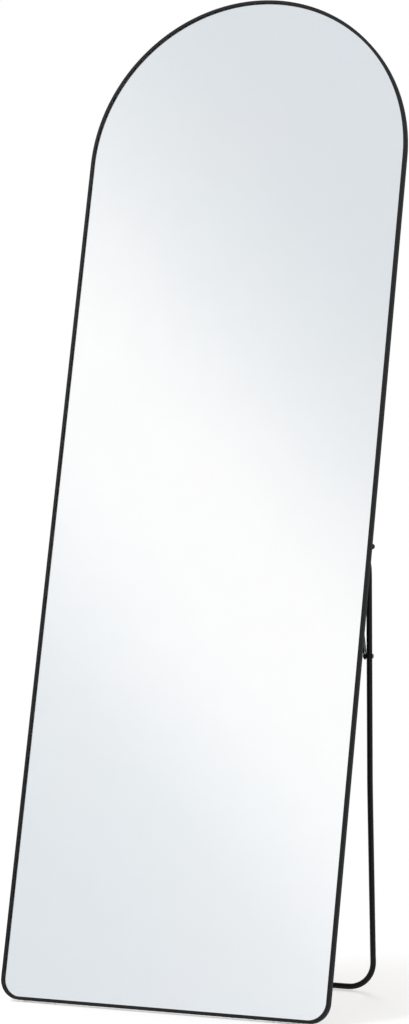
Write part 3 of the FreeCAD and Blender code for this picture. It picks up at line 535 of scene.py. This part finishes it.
# %% Frame channel and bottom rail
LIP_WIDTH = 5.5 * MM
FLANGE_WIDTH = 12 * MM
WALL = 1.3 * MM
FOLD_RADIUS = 0.8 * MM
CUT_EDGE = 0.25 * MM
CUT_EDGE_ANGLE = math.radians(60)
EASE_SEGMENTS = 2


def ease_edges(maker, width, angle):
    """A narrow bevel on the edges that turn by more than an angle."""
    ease = maker.modifiers.new("ease", "BEVEL")
    ease.width = width
    ease.segments = EASE_SEGMENTS
    ease.limit_method = "ANGLE"
    ease.angle_limit = angle


def swept_channel(name, path, replaced):
    """Skin from the tree, wall from Solidify, and a small bevel on the cut edges."""
    maker = path_object(name, path)
    run_tree(maker, channel_tree, {
        "Lip width": LIP_WIDTH, "Flange width": FLANGE_WIDTH, "Depth": FRAME_DEPTH,
        "Fold radius": FOLD_RADIUS, "Finish": frame_black,
    })
    wall = maker.modifiers.new("wall", "SOLIDIFY")
    wall.thickness = WALL
    wall.offset = 1
    wall.use_even_offset = True
    ease_edges(maker, CUT_EDGE, CUT_EDGE_ANGLE)
    finish_piece(name, plain_mesh(maker), mirror_plane, "mirror", replaced)


swept_channel("arch_channel", arch_path, ["frame_arch"])
swept_channel("bottom_channel", rail_path, ["frame_bottom_rail"])

# %% [markdown]
# ## The pane and its silver coat
#
# The pane is the arch's outline, a little inside the channel's wall, with a thickness. The outline
# is already there as points, so it becomes one flat face that is extruded back. The silver is a
# second, very thin sheet just behind the glass: a hair of air between the two keeps their faces
# from lying on each other, which a ray tracer can't sort.

# %% Pane and silver
SHEET_INSET = 2.8 * MM
GLASS_THICKNESS = 4 * MM
HAIR = 0.02 * MM
SILVER_THICKNESS = 0.06 * MM
glass_front = -WALL - HAIR
silver_back = -WALL - GLASS_THICKNESS + HAIR
silver_front = silver_back + SILVER_THICKNESS


def flat_sheet(name, front, back, material, replaced):
    """A sheet of the arch's outline between two depths."""
    outline = arch_outline(SHEET_INSET)
    count = len(outline)
    points = [(across, up, depth) for depth in (front, back) for across, up, _ in outline]
    sides = [(step, (step + 1) % count, (step + 1) % count + count, step + count) for step in range(count)]
    mesh = bpy.data.meshes.new(name)
    mesh.from_pydata(points, [], [list(range(count - 1, -1, -1)), list(range(count, 2 * count)), *sides])
    mesh.materials.append(material)
    finish_piece(name, mesh, mirror_plane, "mirror", replaced)


flat_sheet("glass_pane", glass_front, silver_front + HAIR, float_glass, ["mirror_glass"])
flat_sheet("silver_coat", silver_front, silver_back, silver, ["mirror_glass"])

# %% [markdown]
# ## The stand: a bent tube with pressed ends
#
# The stand is one steel tube, bent to a U with a slight knee in each leg, and pressed flat at both
# ends, where the hinge bolts go through. A round sweep along the centre line gives the tube. The
# pressed ends could be modelled apart and joined, but a press only moves the wall of the tube, so
# the tree does the same: near the ends it squeezes each point towards the tube's plane and lets it
# spread sideways, more and more along the neck.

# %% Centre line of the tube
TUBE_RADIUS = 5 * MM
FOOT_BEND = 48 * MM
NECK_BEND = 120 * MM
KNEE_BEND = 3000 * MM
LEG_DRAW_IN = 11 * MM
FOOT_DRAW_IN = 5.7 * MM
KNEE_RISE = 361 * MM
FLAT_LENGTH = 14 * MM
NECK_LENGTH = 26 * MM
NECK_BEND_DROP = 10 * MM
LUG_HALF_WIDTH = 7.5 * MM
LUG_HALF_THICKNESS = 1.5 * MM
FOOT_BEND_STEPS = 32
KNEE_BEND_STEPS = 6
NECK_BEND_STEPS = 6
NECK_STEPS = 44
END_STEPS = 12
sleeve_low, sleeve_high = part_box("foot_sleeve_right")
sleeve_radius = (sleeve_high.z - sleeve_low.z) / 2
leg_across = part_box("stand_tube")[1].x - TUBE_RADIUS
leg_length = (pivot.z - sleeve_radius) / math.cos(leg_tilt)
neck_drop = FLAT_LENGTH + NECK_LENGTH + NECK_BEND_DROP


def bend(corner, before, after, radius, steps):
    """Points that round the corner of a path, from the run before it to the run after it."""
    corner, before, after = Vector(corner), Vector(before), Vector(after)
    come, leave = (before - corner).normalized(), (after - corner).normalized()
    opening = come.angle(leave)
    centre = corner + (come + leave).normalized() * radius / math.sin(opening / 2)
    start = corner + come * radius / math.tan(opening / 2)
    turn = math.pi - opening
    way = 1 if come.cross(leave).z < 0 else -1
    spin = [Matrix.Rotation(way * turn * step / steps, 3, "Z") for step in range(steps + 1)]
    return [tuple(centre + turned @ (start - centre)) for turned in spin]


knee_across = leg_across - LEG_DRAW_IN
foot_corner = (knee_across - FOOT_DRAW_IN, -leg_length, 0)
knee_corner = (knee_across, KNEE_RISE - leg_length, 0)
neck_corner = (leg_across, -neck_drop, 0)
pressed = -FLAT_LENGTH - NECK_LENGTH
end_heights = [LUG_HALF_WIDTH * math.sin(math.pi / 2 * step / END_STEPS) for step in range(END_STEPS)]
neck_heights = [pressed * (1 - step / NECK_STEPS) for step in range(NECK_STEPS)]
right_leg = [
    (0, -leg_length, 0),
    *bend(foot_corner, (0, -leg_length, 0), knee_corner, FOOT_BEND, FOOT_BEND_STEPS),
    *bend(knee_corner, foot_corner, neck_corner, KNEE_BEND, KNEE_BEND_STEPS),
    *bend(neck_corner, knee_corner, (leg_across, 0, 0), NECK_BEND, NECK_BEND_STEPS),
    *((leg_across, height, 0) for height in neck_heights + end_heights),
]
tube_path = [(-across, up, 0) for across, up, _ in reversed(right_leg)] + right_leg[1:]
print(f"Centre line of {len(tube_path)} points, legs {leg_length:.4f} m long")

# %% Tree that sweeps the tube
TUBE_SIDES = 40
tube_tree, sizes, result = new_tree("Pressed tube", {
    "Radius": "Float", "Leg across": "Float", "Round end": "Float", "Flat end": "Float",
    "Half width": "Float", "Half thickness": "Float", "Finish": "Material",
})
route = add(tube_tree, "GeometryNodeMeshToCurve", {"Mesh": sizes["Geometry"]})
level = add(tube_tree, "GeometryNodeSetCurveNormal", {"Curve": route.outputs[0]}, mode="Z_UP")
ring = add(tube_tree, "GeometryNodeCurvePrimitiveCircle", {
    "Resolution": TUBE_SIDES, "Radius": sizes["Radius"],
})
tube = add(tube_tree, "GeometryNodeCurveToMesh", {
    "Curve": level.outputs[0], "Profile Curve": ring.outputs[0], "Fill Caps": True,
})
print("Tube of", TUBE_SIDES, "sides")

# %% Press at the ends of the tube
PRESSED_POWER = 0.22
spot = add(tube_tree, "GeometryNodeInputPosition")
where = add(tube_tree, "ShaderNodeSeparateXYZ", {0: spot.outputs[0]})
across, up, out = where.outputs
press = add(tube_tree, "ShaderNodeMapRange", {
    "Value": up, "From Min": sizes["Round end"], "From Max": sizes["Flat end"],
}, interpolation_type="SMOOTHSTEP").outputs["Result"]
side = add(tube_tree, "ShaderNodeMath", {0: across}, operation="SIGN").outputs[0]
reach = add(tube_tree, "ShaderNodeMath", {0: across}, operation="ABSOLUTE").outputs[0]
offset = add(tube_tree, "ShaderNodeMath", {
    0: reach, 1: sizes["Leg across"],
}, operation="SUBTRACT").outputs[0]
share = add(tube_tree, "ShaderNodeMath", {0: offset, 1: sizes["Radius"]}, operation="DIVIDE").outputs[0]
wall_side = add(tube_tree, "ShaderNodeMath", {0: share}, operation="SIGN").outputs[0]
wall_share = add(tube_tree, "ShaderNodeMath", {0: share}, operation="ABSOLUTE").outputs[0]
flatness = add(tube_tree, "ShaderNodeMapRange", {
    "Value": press, "To Min": 1.0, "To Max": PRESSED_POWER,
}).outputs["Result"]
flat_share = add(tube_tree, "ShaderNodeMath", {0: wall_share, 1: flatness}, operation="POWER").outputs[0]
half = add(tube_tree, "ShaderNodeMapRange", {
    "Value": press, "To Min": sizes["Radius"], "To Max": sizes["Half thickness"],
}).outputs["Result"]
flat_offset = add(tube_tree, "ShaderNodeMath", {0: flat_share, 1: half}, operation="MULTIPLY").outputs[0]
signed = add(tube_tree, "ShaderNodeMath", {0: flat_offset, 1: wall_side}, operation="MULTIPLY").outputs[0]
placed = add(tube_tree, "ShaderNodeMath", {0: signed, 1: sizes["Leg across"]}, operation="ADD").outputs[0]
new_across = add(tube_tree, "ShaderNodeMath", {0: placed, 1: side}, operation="MULTIPLY").outputs[0]
spread_to = add(tube_tree, "ShaderNodeMath", {
    0: sizes["Half width"], 1: sizes["Radius"],
}, operation="DIVIDE").outputs[0]
spread = add(tube_tree, "ShaderNodeMapRange", {
    "Value": press, "To Min": 1.0, "To Max": spread_to,
}).outputs["Result"]
past = add(tube_tree, "ShaderNodeMath", {0: up, 1: 0.0}, operation="MAXIMUM").outputs[0]
past_share = add(tube_tree, "ShaderNodeMath", {
    0: past, 1: sizes["Half width"],
}, operation="DIVIDE").outputs[0]
square = add(tube_tree, "ShaderNodeMath", {0: past_share, 1: past_share}, operation="MULTIPLY").outputs[0]
rest = add(tube_tree, "ShaderNodeMath", {0: 1.0, 1: square}, operation="SUBTRACT").outputs[0]
round_end = add(tube_tree, "ShaderNodeMath", {0: rest}, operation="SQRT").outputs[0]
wide = add(tube_tree, "ShaderNodeMath", {0: out, 1: spread}, operation="MULTIPLY").outputs[0]
new_out = add(tube_tree, "ShaderNodeMath", {0: wide, 1: round_end}, operation="MULTIPLY").outputs[0]
moved = add(tube_tree, "ShaderNodeCombineXYZ", {"X": new_across, "Y": up, "Z": new_out})
near_end = add(tube_tree, "FunctionNodeCompare", {0: up, 1: sizes["Round end"]}, operation="GREATER_THAN")
shaped = add(tube_tree, "GeometryNodeSetPosition", {
    "Geometry": tube.outputs[0], "Selection": near_end.outputs[0], "Position": moved.outputs[0],
})
end_tree(tube_tree, shaped.outputs[0], sizes["Finish"], result)
print("Tube tree with", len(tube_tree.nodes), "nodes")

# %% Stand tube with drilled ends
BOLT_RADIUS = 3 * MM
BOLT_PLAY = 0.05 * MM
DRILL_LENGTH = 2 * half_width
DRILL_SIDES = 32
hole_radius = BOLT_RADIUS + BOLT_PLAY
maker = path_object("bent_tube", tube_path)
run_tree(maker, tube_tree, {
    "Radius": TUBE_RADIUS, "Leg across": leg_across, "Round end": pressed, "Flat end": -FLAT_LENGTH,
    "Half width": LUG_HALF_WIDTH, "Half thickness": LUG_HALF_THICKNESS, "Finish": lacquer_and_painted_shade,
})
cells = bmesh.new()
bmesh.ops.create_cone(
    cells, cap_ends=True, segments=DRILL_SIDES, radius1=hole_radius, radius2=hole_radius, depth=DRILL_LENGTH,
    matrix=Matrix.Rotation(math.pi / 2, 4, "Y"),
)
drill = new_object("drill", mesh_from("drill", cells))
hole = maker.modifiers.new("bolt_hole", "BOOLEAN")
hole.object = drill
tube_mesh = plain_mesh(maker)
bpy.data.objects.remove(drill)
finish_piece("bent_tube", tube_mesh, stand_plane, "stand", ["stand_tube"])

# %% [markdown]
# ## Screws and rivets, drawn once and repeated
#
# The brackets are held by small pan-head screws with a cross recess, and the joints of the frame by
# flat rivets. Each kind is drawn once, by turning a half section about its axis, and Geometry Nodes
# put a copy in every hole. A person who drives screws leaves each cross at its own angle, so the
# tree turns each copy by a random angle with a fixed seed. The places come from the solids: each
# separate solid in a node marks one fastener.

# %% Where the fasteners are
def solid_boxes(node, plane):
    """Lowest and highest corner of each separate solid in a node, measured in a plane."""
    cells = bmesh.new()
    cells.from_mesh(nodes[node].data)
    cells.transform(plane.inverted())
    bmesh.ops.remove_doubles(cells, verts=cells.verts, dist=WELD)
    waiting = set(cells.verts)
    boxes = []
    while waiting:
        front = [waiting.pop()]
        found = []
        while front:
            corner = front.pop()
            found.append(corner.co.copy())
            linked = {edge.other_vert(corner) for edge in corner.link_edges} & waiting
            waiting -= linked
            front.extend(linked)
        low, high = (Vector(pick(spot[axis] for spot in found) for axis in range(3)) for pick in (min, max))
        boxes.append((low, high))
    cells.free()
    return boxes


screw_nodes = ["hinge_screws", "anchor_screws", "hanger_screws"]
screw_boxes = [box for node in screw_nodes for box in solid_boxes(node, mirror_plane)]
rivet_boxes = solid_boxes("splice_rivets", mirror_plane)
print(len(screw_boxes), "screws and", len(rivet_boxes), "rivets")

# %% Sizes of the fasteners
TURN_STEPS = 36
SCREW_HEAD_RADIUS = 3 * MM
SCREW_HEAD_HEIGHT = 2 * MM
SCREW_RIM = SCREW_HEAD_HEIGHT / 3
SCREW_DOME_STEPS = 8
SCREW_RADIUS = 1.75 * MM
SCREW_LENGTH = 5.5 * MM
RECESS_SPAN = 3.2 * MM
RECESS_WIDTH = 0.9 * MM
RECESS_DEPTH = 1 * MM
RIVET_HEAD_RADIUS = 3 * MM
RIVET_HEAD_HEIGHT = 0.5 * MM
RIVET_RIM = RIVET_HEAD_HEIGHT / 4
RIVET_DOME_STEPS = 6
RIVET_RADIUS = 1.6 * MM
RIVET_LENGTH = 2.5 * MM
print("Heads of", 2 * SCREW_HEAD_RADIUS / MM, "and", 2 * RIVET_HEAD_RADIUS / MM, "mm")

# %% Helpers for turned pieces
def spin_round(cells, spots, edges, axis, steps):
    """Turns a half section once round an axis and closes the seam."""
    bmesh.ops.spin(
        cells, geom=spots + edges, axis=axis, cent=(0, 0, 0), angle=2 * math.pi, steps=steps,
        use_merge=True,
    )
    bmesh.ops.remove_doubles(cells, verts=cells.verts, dist=WELD)
    bmesh.ops.recalc_face_normals(cells, faces=cells.faces)


def turned(name, section, finish):
    """A solid of revolution about Z from (radius, height) points that start and end on the axis."""
    cells = bmesh.new()
    spots = [cells.verts.new((radius, 0, height)) for radius, height in section]
    edges = [cells.edges.new(pair) for pair in zip(spots, spots[1:])]
    spin_round(cells, spots, edges, (0, 0, 1), TURN_STEPS)
    mesh = mesh_from(name, cells)
    mesh.materials.append(finish)
    return new_object(name, mesh)


def dome(radius, height, rim, steps):
    """Points from the rim of a domed head up to its crown on the axis."""
    angles = [math.pi / 2 * step / steps for step in range(steps + 1)]
    return [(radius * math.cos(angle), rim + (height - rim) * math.sin(angle)) for angle in angles]


def box_cells(cells, size):
    """Adds a box of three sizes about the origin."""
    bmesh.ops.create_cube(cells, size=1.0, matrix=Matrix.Diagonal((*size, 1)))


# %% One screw and one rivet
screw_section = [
    (0, -SCREW_LENGTH), (SCREW_RADIUS, -SCREW_LENGTH), (SCREW_RADIUS, 0), (SCREW_HEAD_RADIUS, 0),
]
screw_section += dome(SCREW_HEAD_RADIUS, SCREW_HEAD_HEIGHT, SCREW_RIM, SCREW_DOME_STEPS)
screw = turned("screw", screw_section, zinc)
rivet_section = [
    (0, -RIVET_LENGTH), (RIVET_RADIUS, -RIVET_LENGTH), (RIVET_RADIUS, 0), (RIVET_HEAD_RADIUS, 0),
]
rivet_section += dome(RIVET_HEAD_RADIUS, RIVET_HEAD_HEIGHT, RIVET_RIM, RIVET_DOME_STEPS)
# The rivets take the black lacquer with its painted shade.
rivet = turned("rivet", rivet_section, lacquer_and_painted_shade)

cells = bmesh.new()
box_cells(cells, (RECESS_SPAN, RECESS_WIDTH, 2 * RECESS_DEPTH))
box_cells(cells, (RECESS_WIDTH, RECESS_SPAN, 2 * RECESS_DEPTH))
cross_mesh = mesh_from("cross", cells)
cross_mesh.materials.append(zinc)
cross_mesh.transform(Matrix.Translation((0, 0, SCREW_HEAD_HEIGHT)))
cross = new_object("cross", cross_mesh)
recess = screw.modifiers.new("recess", "BOOLEAN")
recess.object = cross
recess.use_self = True
screw = new_object("recessed_screw", plain_mesh(screw))
bpy.data.objects.remove(cross)
print(f"Screw of {len(screw.data.polygons)} faces, rivet of {len(rivet.data.polygons)} faces")

# %% Tree that sets fasteners
fastener_tree, sizes, result = new_tree("Set fasteners", {
    "Fastener": "Object", "Axis": "Vector", "Largest turn": "Float", "Seed": "Int", "Finish": "Material",
})
shape = add(fastener_tree, "GeometryNodeObjectInfo", {"Object": sizes["Fastener"]})
turn = add(fastener_tree, "FunctionNodeRandomValue", {
    "Max": sizes["Largest turn"], "Seed": sizes["Seed"],
}, data_type="FLOAT")
angle = next(socket for socket in turn.outputs if socket.enabled)
spin = add(fastener_tree, "FunctionNodeAxisAngleToRotation", {"Axis": sizes["Axis"], "Angle": angle})
copies = add(fastener_tree, "GeometryNodeInstanceOnPoints", {
    "Points": sizes["Geometry"], "Instance": shape.outputs["Geometry"], "Rotation": spin.outputs[0],
})
end_tree(fastener_tree, copies.outputs[0], sizes["Finish"], result)
print("Fastener tree with", len(fastener_tree.nodes), "nodes")

# %% Fasteners in their holes
BACKWARDS = (0, 0, -1)
DOWNWARDS = (0, -1, 0)
SCREW_SEED = 7
RIVET_SEED = 3


def set_fasteners(name, fastener, heading, seats, seed, finish, replaced):
    """One mesh with a copy of the fastener on each seat, its head pointing along a heading."""
    way = Vector(heading)
    fastener.data.transform(way.to_track_quat("Z", "Y").to_matrix().to_4x4())
    points = bpy.data.meshes.new(name)
    points.from_pydata(seats, [], [])
    maker = new_object(name, points)
    run_tree(maker, fastener_tree, {
        "Fastener": fastener, "Axis": way, "Largest turn": math.pi / 2, "Seed": seed,
        "Finish": finish,
    })
    mesh = plain_mesh(maker)
    bpy.data.objects.remove(fastener)
    finish_piece(name, mesh, mirror_plane, "mirror", replaced)


screw_seats = [
    ((low.x + high.x) / 2, (low.y + high.y) / 2, low.z + SCREW_HEAD_HEIGHT) for low, high in screw_boxes
]
set_fasteners("pan_head_screws", screw, BACKWARDS, screw_seats, SCREW_SEED, zinc, screw_nodes)
rivet_seats = [(low.x / 2 + high.x / 2, 0, low.z / 2 + high.z / 2) for low, high in rivet_boxes]
set_fasteners(
    "frame_rivets", rivet, DOWNWARDS, rivet_seats, RIVET_SEED, lacquer_and_painted_shade, ["splice_rivets"]
)

# %% [markdown]
# ## Rubber sleeves on the foot bar
#
# Two moulded sleeves keep the foot bar from sliding on the floor. They are thick-walled tubes whose
# rims are rounded by the mould. A half section with a round at each rim, turned about the bar,
# makes one; the other is its twin.

# %% Sleeves
RIM_ROUND = 0.6 * MM
RIM_STEPS = 5
SLEEVE_STEPS = 48
FIT = 0.05 * MM


def sleeve_section(length):
    """Closed half section of a sleeve, as (radius, place along the bar)."""
    inner, outer = TUBE_RADIUS + FIT, sleeve_radius
    turns = [math.pi / 2 * step / RIM_STEPS for step in range(RIM_STEPS + 1)]
    near_rim = [
        (outer - RIM_ROUND * (1 - math.cos(turn)), RIM_ROUND * (1 - math.sin(turn))) for turn in turns
    ]
    far_rim = [(radius, length - along) for radius, along in reversed(near_rim)]
    return [(inner, 0), (inner, length), *far_rim, *near_rim]


def make_sleeve(name, node):
    """A rounded sleeve about the bar, where its node is."""
    low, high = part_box(node)
    section = sleeve_section(high.x - low.x)
    cells = bmesh.new()
    spots = [cells.verts.new((along, 0, radius)) for radius, along in section]
    edges = [cells.edges.new((spots[step - 1], spots[step])) for step in range(len(spots))]
    spin_round(cells, spots, edges, (1, 0, 0), SLEEVE_STEPS)
    mesh = mesh_from(name, cells)
    mesh.materials.append(rubber)
    place = Matrix.Translation((low.x, (low.y + high.y) / 2, (low.z + high.z) / 2))
    finish_piece(name, mesh, place, "stand", [node])


for side in ("left", "right"):
    make_sleeve(f"rubber_sleeve_{side}", f"foot_sleeve_{side}")

# %% [markdown]
# ## Stamped brackets and stays with eased edges
#
# Brackets, anchors, hangers and stays are stamped from steel strip and tumbled, so no edge is knife
# sharp, and it is the narrow gleam along an edge that tells the eye how thick the strip is. Their
# solids have the true shape with sharp edges. A copy is welded, its flat faces are joined again,
# and a Bevel modifier eases the edges.

# %% Eased copies
STAMPED_EASE = 0.25 * MM
STAMPED_EDGE_ANGLE = math.radians(50)
FLAT_ANGLE = math.radians(0.5)


def eased_copy(name, node, body, finish):
    """A welded copy of a node's mesh with eased edges, which takes the node's place."""
    cells = bmesh.new()
    cells.from_mesh(nodes[node].data)
    bmesh.ops.remove_doubles(cells, verts=cells.verts, dist=WELD)
    bmesh.ops.dissolve_limit(cells, angle_limit=FLAT_ANGLE, verts=cells.verts, edges=cells.edges)
    mesh = mesh_from(name, cells)
    mesh.materials.append(finish)
    maker = new_object(name, mesh)
    ease_edges(maker, STAMPED_EASE, STAMPED_EDGE_ANGLE)
    finish_piece(name, plain_mesh(maker), Matrix(), body, [node])


# The black plates and stays take the lacquer with its painted shade; the hangers are zinc.
for side in ("left", "right"):
    eased_copy(f"hinge_plate_{side}", f"hinge_bracket_{side}", "mirror", lacquer_and_painted_shade)
    eased_copy(f"anchor_plate_{side}", f"stay_anchor_{side}", "mirror", lacquer_and_painted_shade)
    eased_copy(f"hanger_plate_{side}", f"hanger_bracket_{side}", "mirror", zinc)
    eased_copy(f"slotted_stay_{side}", f"stay_{side}", f"stay_{side}", lacquer_and_painted_shade)

# %% [markdown]
# ## Finishes for the pieces that stay as they are
#
# Pins, washers, nuts, bolts, pads and the flat sheets inside already have their true shape. They
# only need their finish, which goes into the material slots they came with.

# %% Finishes by node
finishes = {
    zinc: ["anchor_rivets", "pivot_lock_nuts", "frame_splice_left", "frame_splice_right"],
    oxide: ["pivot_bolt_left", "pivot_bolt_right", "slide_pins"],
    nylon: ["pivot_washers"],
    silicone: ["floor_pad_left", "floor_pad_right"],
    hardboard: ["back_board"],
    cardboard: ["cardboard_sheet"],
    film: ["safety_film"],
}
for material, names in finishes.items():
    for name in names:
        nodes[name].data.materials.clear()
        nodes[name].data.materials.append(material)
    print(material.name, "on", len(names), "nodes")

# %% [markdown]
# ## The studio
#
# A mirror shows nothing but its surroundings, so the surroundings have to be designed. The room is
# white to the eye. What the glass and the metal see is a pale blue-grey studio with broad, soft,
# tilted strips of white light, one of which crosses the mirror from the left to the lower right. A
# card with a gradient could be placed in front of the mirror, but strips in the world are there for
# every view. For lighting the object, the world is a plain even white.

# %% World with soft strips
STRIP_AXIS = Vector((0.705, 0.05, 0.7075))
STRIP_CENTRE = Vector((-0.379, -0.830, 0.408))
STRIP_REACH = 0.17
ROOM_LIGHT = 0.45
STRIP_STOPS = (
    (-0.17, "#DFE3E8"), (-0.092, "#E5E9ED"), (-0.054, "#EEF1F4"), (-0.024, "#FBFCFD"), (0.017, "#FFFFFF"),
    (0.054, "#F1F3F5"), (0.098, "#E1E5E9"), (0.17, "#DFE3E8"),
)
world = bpy.data.worlds.new("white_studio")
bpy.context.scene.world = world
world.use_nodes = True
tree = world.node_tree
tree.nodes.clear()
direction = add(tree, "ShaderNodeTexCoord")
along = add(tree, "ShaderNodeVectorMath", {
    0: direction.outputs["Generated"], 1: STRIP_AXIS,
}, operation="DOT_PRODUCT")
strip_place = STRIP_AXIS.dot(STRIP_CENTRE)
nearest = add(tree, "ShaderNodeMath", {
    0: along.outputs["Value"], 1: strip_place + STRIP_REACH, 2: strip_place - STRIP_REACH,
}, operation="WRAP")
across_strip = add(tree, "ShaderNodeMapRange", {
    "Value": nearest.outputs[0], "From Min": strip_place - STRIP_REACH,
    "From Max": strip_place + STRIP_REACH,
})
strip = add(tree, "ShaderNodeValToRGB", {"Fac": across_strip.outputs["Result"]})
set_ramp(strip, [((place + STRIP_REACH) / (2 * STRIP_REACH), tone) for place, tone in STRIP_STOPS])
strip.color_ramp.interpolation = "CARDINAL"
rays = add(tree, "ShaderNodeLightPath")
shown = add(tree, "ShaderNodeMath", {
    0: rays.outputs["Is Glossy Ray"], 1: rays.outputs["Is Transmission Ray"],
}, operation="MAXIMUM")
room = add(tree, "ShaderNodeBackground", {"Color": linear("#FFFFFF"), "Strength": ROOM_LIGHT})
studio = add(tree, "ShaderNodeBackground", {"Color": strip.outputs["Color"], "Strength": 1.0})
backdrop = add(tree, "ShaderNodeBackground", {"Color": linear("#FFFFFF"), "Strength": 1.0})
reflected = add(tree, "ShaderNodeMixShader", {
    0: shown.outputs[0], 1: room.outputs[0], 2: studio.outputs[0],
})
seen = add(tree, "ShaderNodeMixShader", {
    0: rays.outputs["Is Camera Ray"], 1: reflected.outputs[0], 2: backdrop.outputs[0],
})
add(tree, "ShaderNodeOutputWorld", {"Surface": seen.outputs[0]})
print("World with", len(tree.nodes), "nodes")

# %% [markdown]
# ## Floor and lamps
#
# The floor is a pale disc that carries the soft shadow of the object and fades into the white of
# the room, so that no horizon shows. Three large soft lamps add a little form: one high at the
# left, which leaves that side of the frame and the arch lighter than its foot, one behind for the
# back board, and a weak one low at the right.

# %% Floor
FLOOR_RADIUS = 3.0
FLOOR_SIDES = 96
FADE_START = 0.3
FADE_END = 1.1
NEAREST_FADE = 0.3
FLOOR_LIFT = 0.28
floor_paint, tree, shader = new_material("pale_studio_floor")
shader.inputs["Base Color"].default_value = linear("#FAFAFA")
shader.inputs["Roughness"].default_value = 0.9
shader.inputs["Specular IOR Level"].default_value = 0.1
shader.inputs["Emission Color"].default_value = linear("#FFFFFF")
rays = add(tree, "ShaderNodeLightPath")
mirrored = add(tree, "ShaderNodeMath", {
    0: rays.outputs["Is Glossy Ray"], 1: rays.outputs["Is Transmission Ray"],
}, operation="MAXIMUM")
seen = add(tree, "ShaderNodeMath", {
    0: rays.outputs["Is Camera Ray"], 1: mirrored.outputs[0],
}, operation="MAXIMUM")
lift = add(tree, "ShaderNodeMath", {0: seen.outputs[0], 1: FLOOR_LIFT}, operation="MULTIPLY")
tree.links.new(lift.outputs[0], shader.inputs["Emission Strength"])
place = add(tree, "ShaderNodeTexCoord")
distance = add(tree, "ShaderNodeVectorMath", {0: place.outputs["Object"]}, operation="LENGTH")
fade = add(tree, "ShaderNodeMapRange", {
    "Value": distance.outputs["Value"], "From Min": FADE_START, "From Max": FADE_END,
    "To Min": NEAREST_FADE,
}, interpolation_type="SMOOTHSTEP")
clear = add(tree, "ShaderNodeBsdfTransparent")
faded = add(tree, "ShaderNodeMixShader", {
    0: fade.outputs["Result"], 1: shader.outputs["BSDF"], 2: clear.outputs[0],
})
tree.links.new(faded.outputs[0], tree.nodes["Material Output"].inputs["Surface"])
cells = bmesh.new()
bmesh.ops.create_circle(cells, cap_ends=True, segments=FLOOR_SIDES, radius=FLOOR_RADIUS)
floor_mesh = mesh_from("floor", cells)
floor_mesh.materials.append(floor_paint)
floor = new_object("floor", floor_mesh)
print("Floor of", FLOOR_RADIUS, "m radius")

# %% Lamps
def soft_lamp(name, place, aim, width, height, power):
    """A large area lamp that lights the object and is not itself reflected in the mirror."""
    light = bpy.data.lights.new(name, "AREA")
    light.shape = "RECTANGLE"
    light.size = width
    light.size_y = height
    light.energy = power
    lamp = new_object(name, light)
    lamp.location = place
    lamp.rotation_euler = (Vector(aim) - Vector(place)).to_track_quat("-Z", "Y").to_euler()
    lamp.visible_glossy = False
    lamp.visible_transmission = False


soft_lamp("high_left", place=(-1.3, -1.3, 2.3), aim=(-0.1, 0.1, 1.3), width=1.2, height=1.0, power=42)
soft_lamp("low_right", place=(2.6, 0.4, 1.2), aim=(0, 0, 0.8), width=1.0, height=1.6, power=7)
soft_lamp("high_back", place=(-0.7, 2.4, 2.2), aim=(0, 0, 0.9), width=1.6, height=1.2, power=36)
print("Three lamps")

# %% [markdown]
# ## The camera
#
# The photograph was taken with a long lens from the mirror's right, a little above its middle.
# Azimuth, height and distance come from fitting the arch, the sides and the corners of the frame to
# the picture. The image is a tall one of 409 by 1024 pixels, so the lens is given on its long side.

# %% Camera
CAMERA_AZIMUTH = math.radians(22.32)
CAMERA_ELEVATION = math.radians(2.53)
CAMERA_DISTANCE = 5.2508
CAMERA_AIM = mirror_origin + Vector((0.08199, 0, 0.84117))
LENS_MM = 111.3
SENSOR_MM = 36
FARTHEST = 50
camera = bpy.data.cameras.new("photographer")
camera.sensor_fit = "VERTICAL"
camera.sensor_height = SENSOR_MM
camera.lens = LENS_MM
camera.clip_end = FARTHEST
viewpoint = new_object("photographer", camera)
ahead = Vector((
    -math.sin(CAMERA_AZIMUTH) * math.cos(CAMERA_ELEVATION),
    math.cos(CAMERA_AZIMUTH) * math.cos(CAMERA_ELEVATION),
    -math.sin(CAMERA_ELEVATION),
))
viewpoint.location = CAMERA_AIM - ahead * CAMERA_DISTANCE
viewpoint.rotation_euler = ahead.to_track_quat("-Z", "Y").to_euler()
bpy.context.scene.camera = viewpoint
bpy.context.scene.view_settings.view_transform = "Standard"
print("Camera at", tuple(round(number, 3) for number in viewpoint.location))
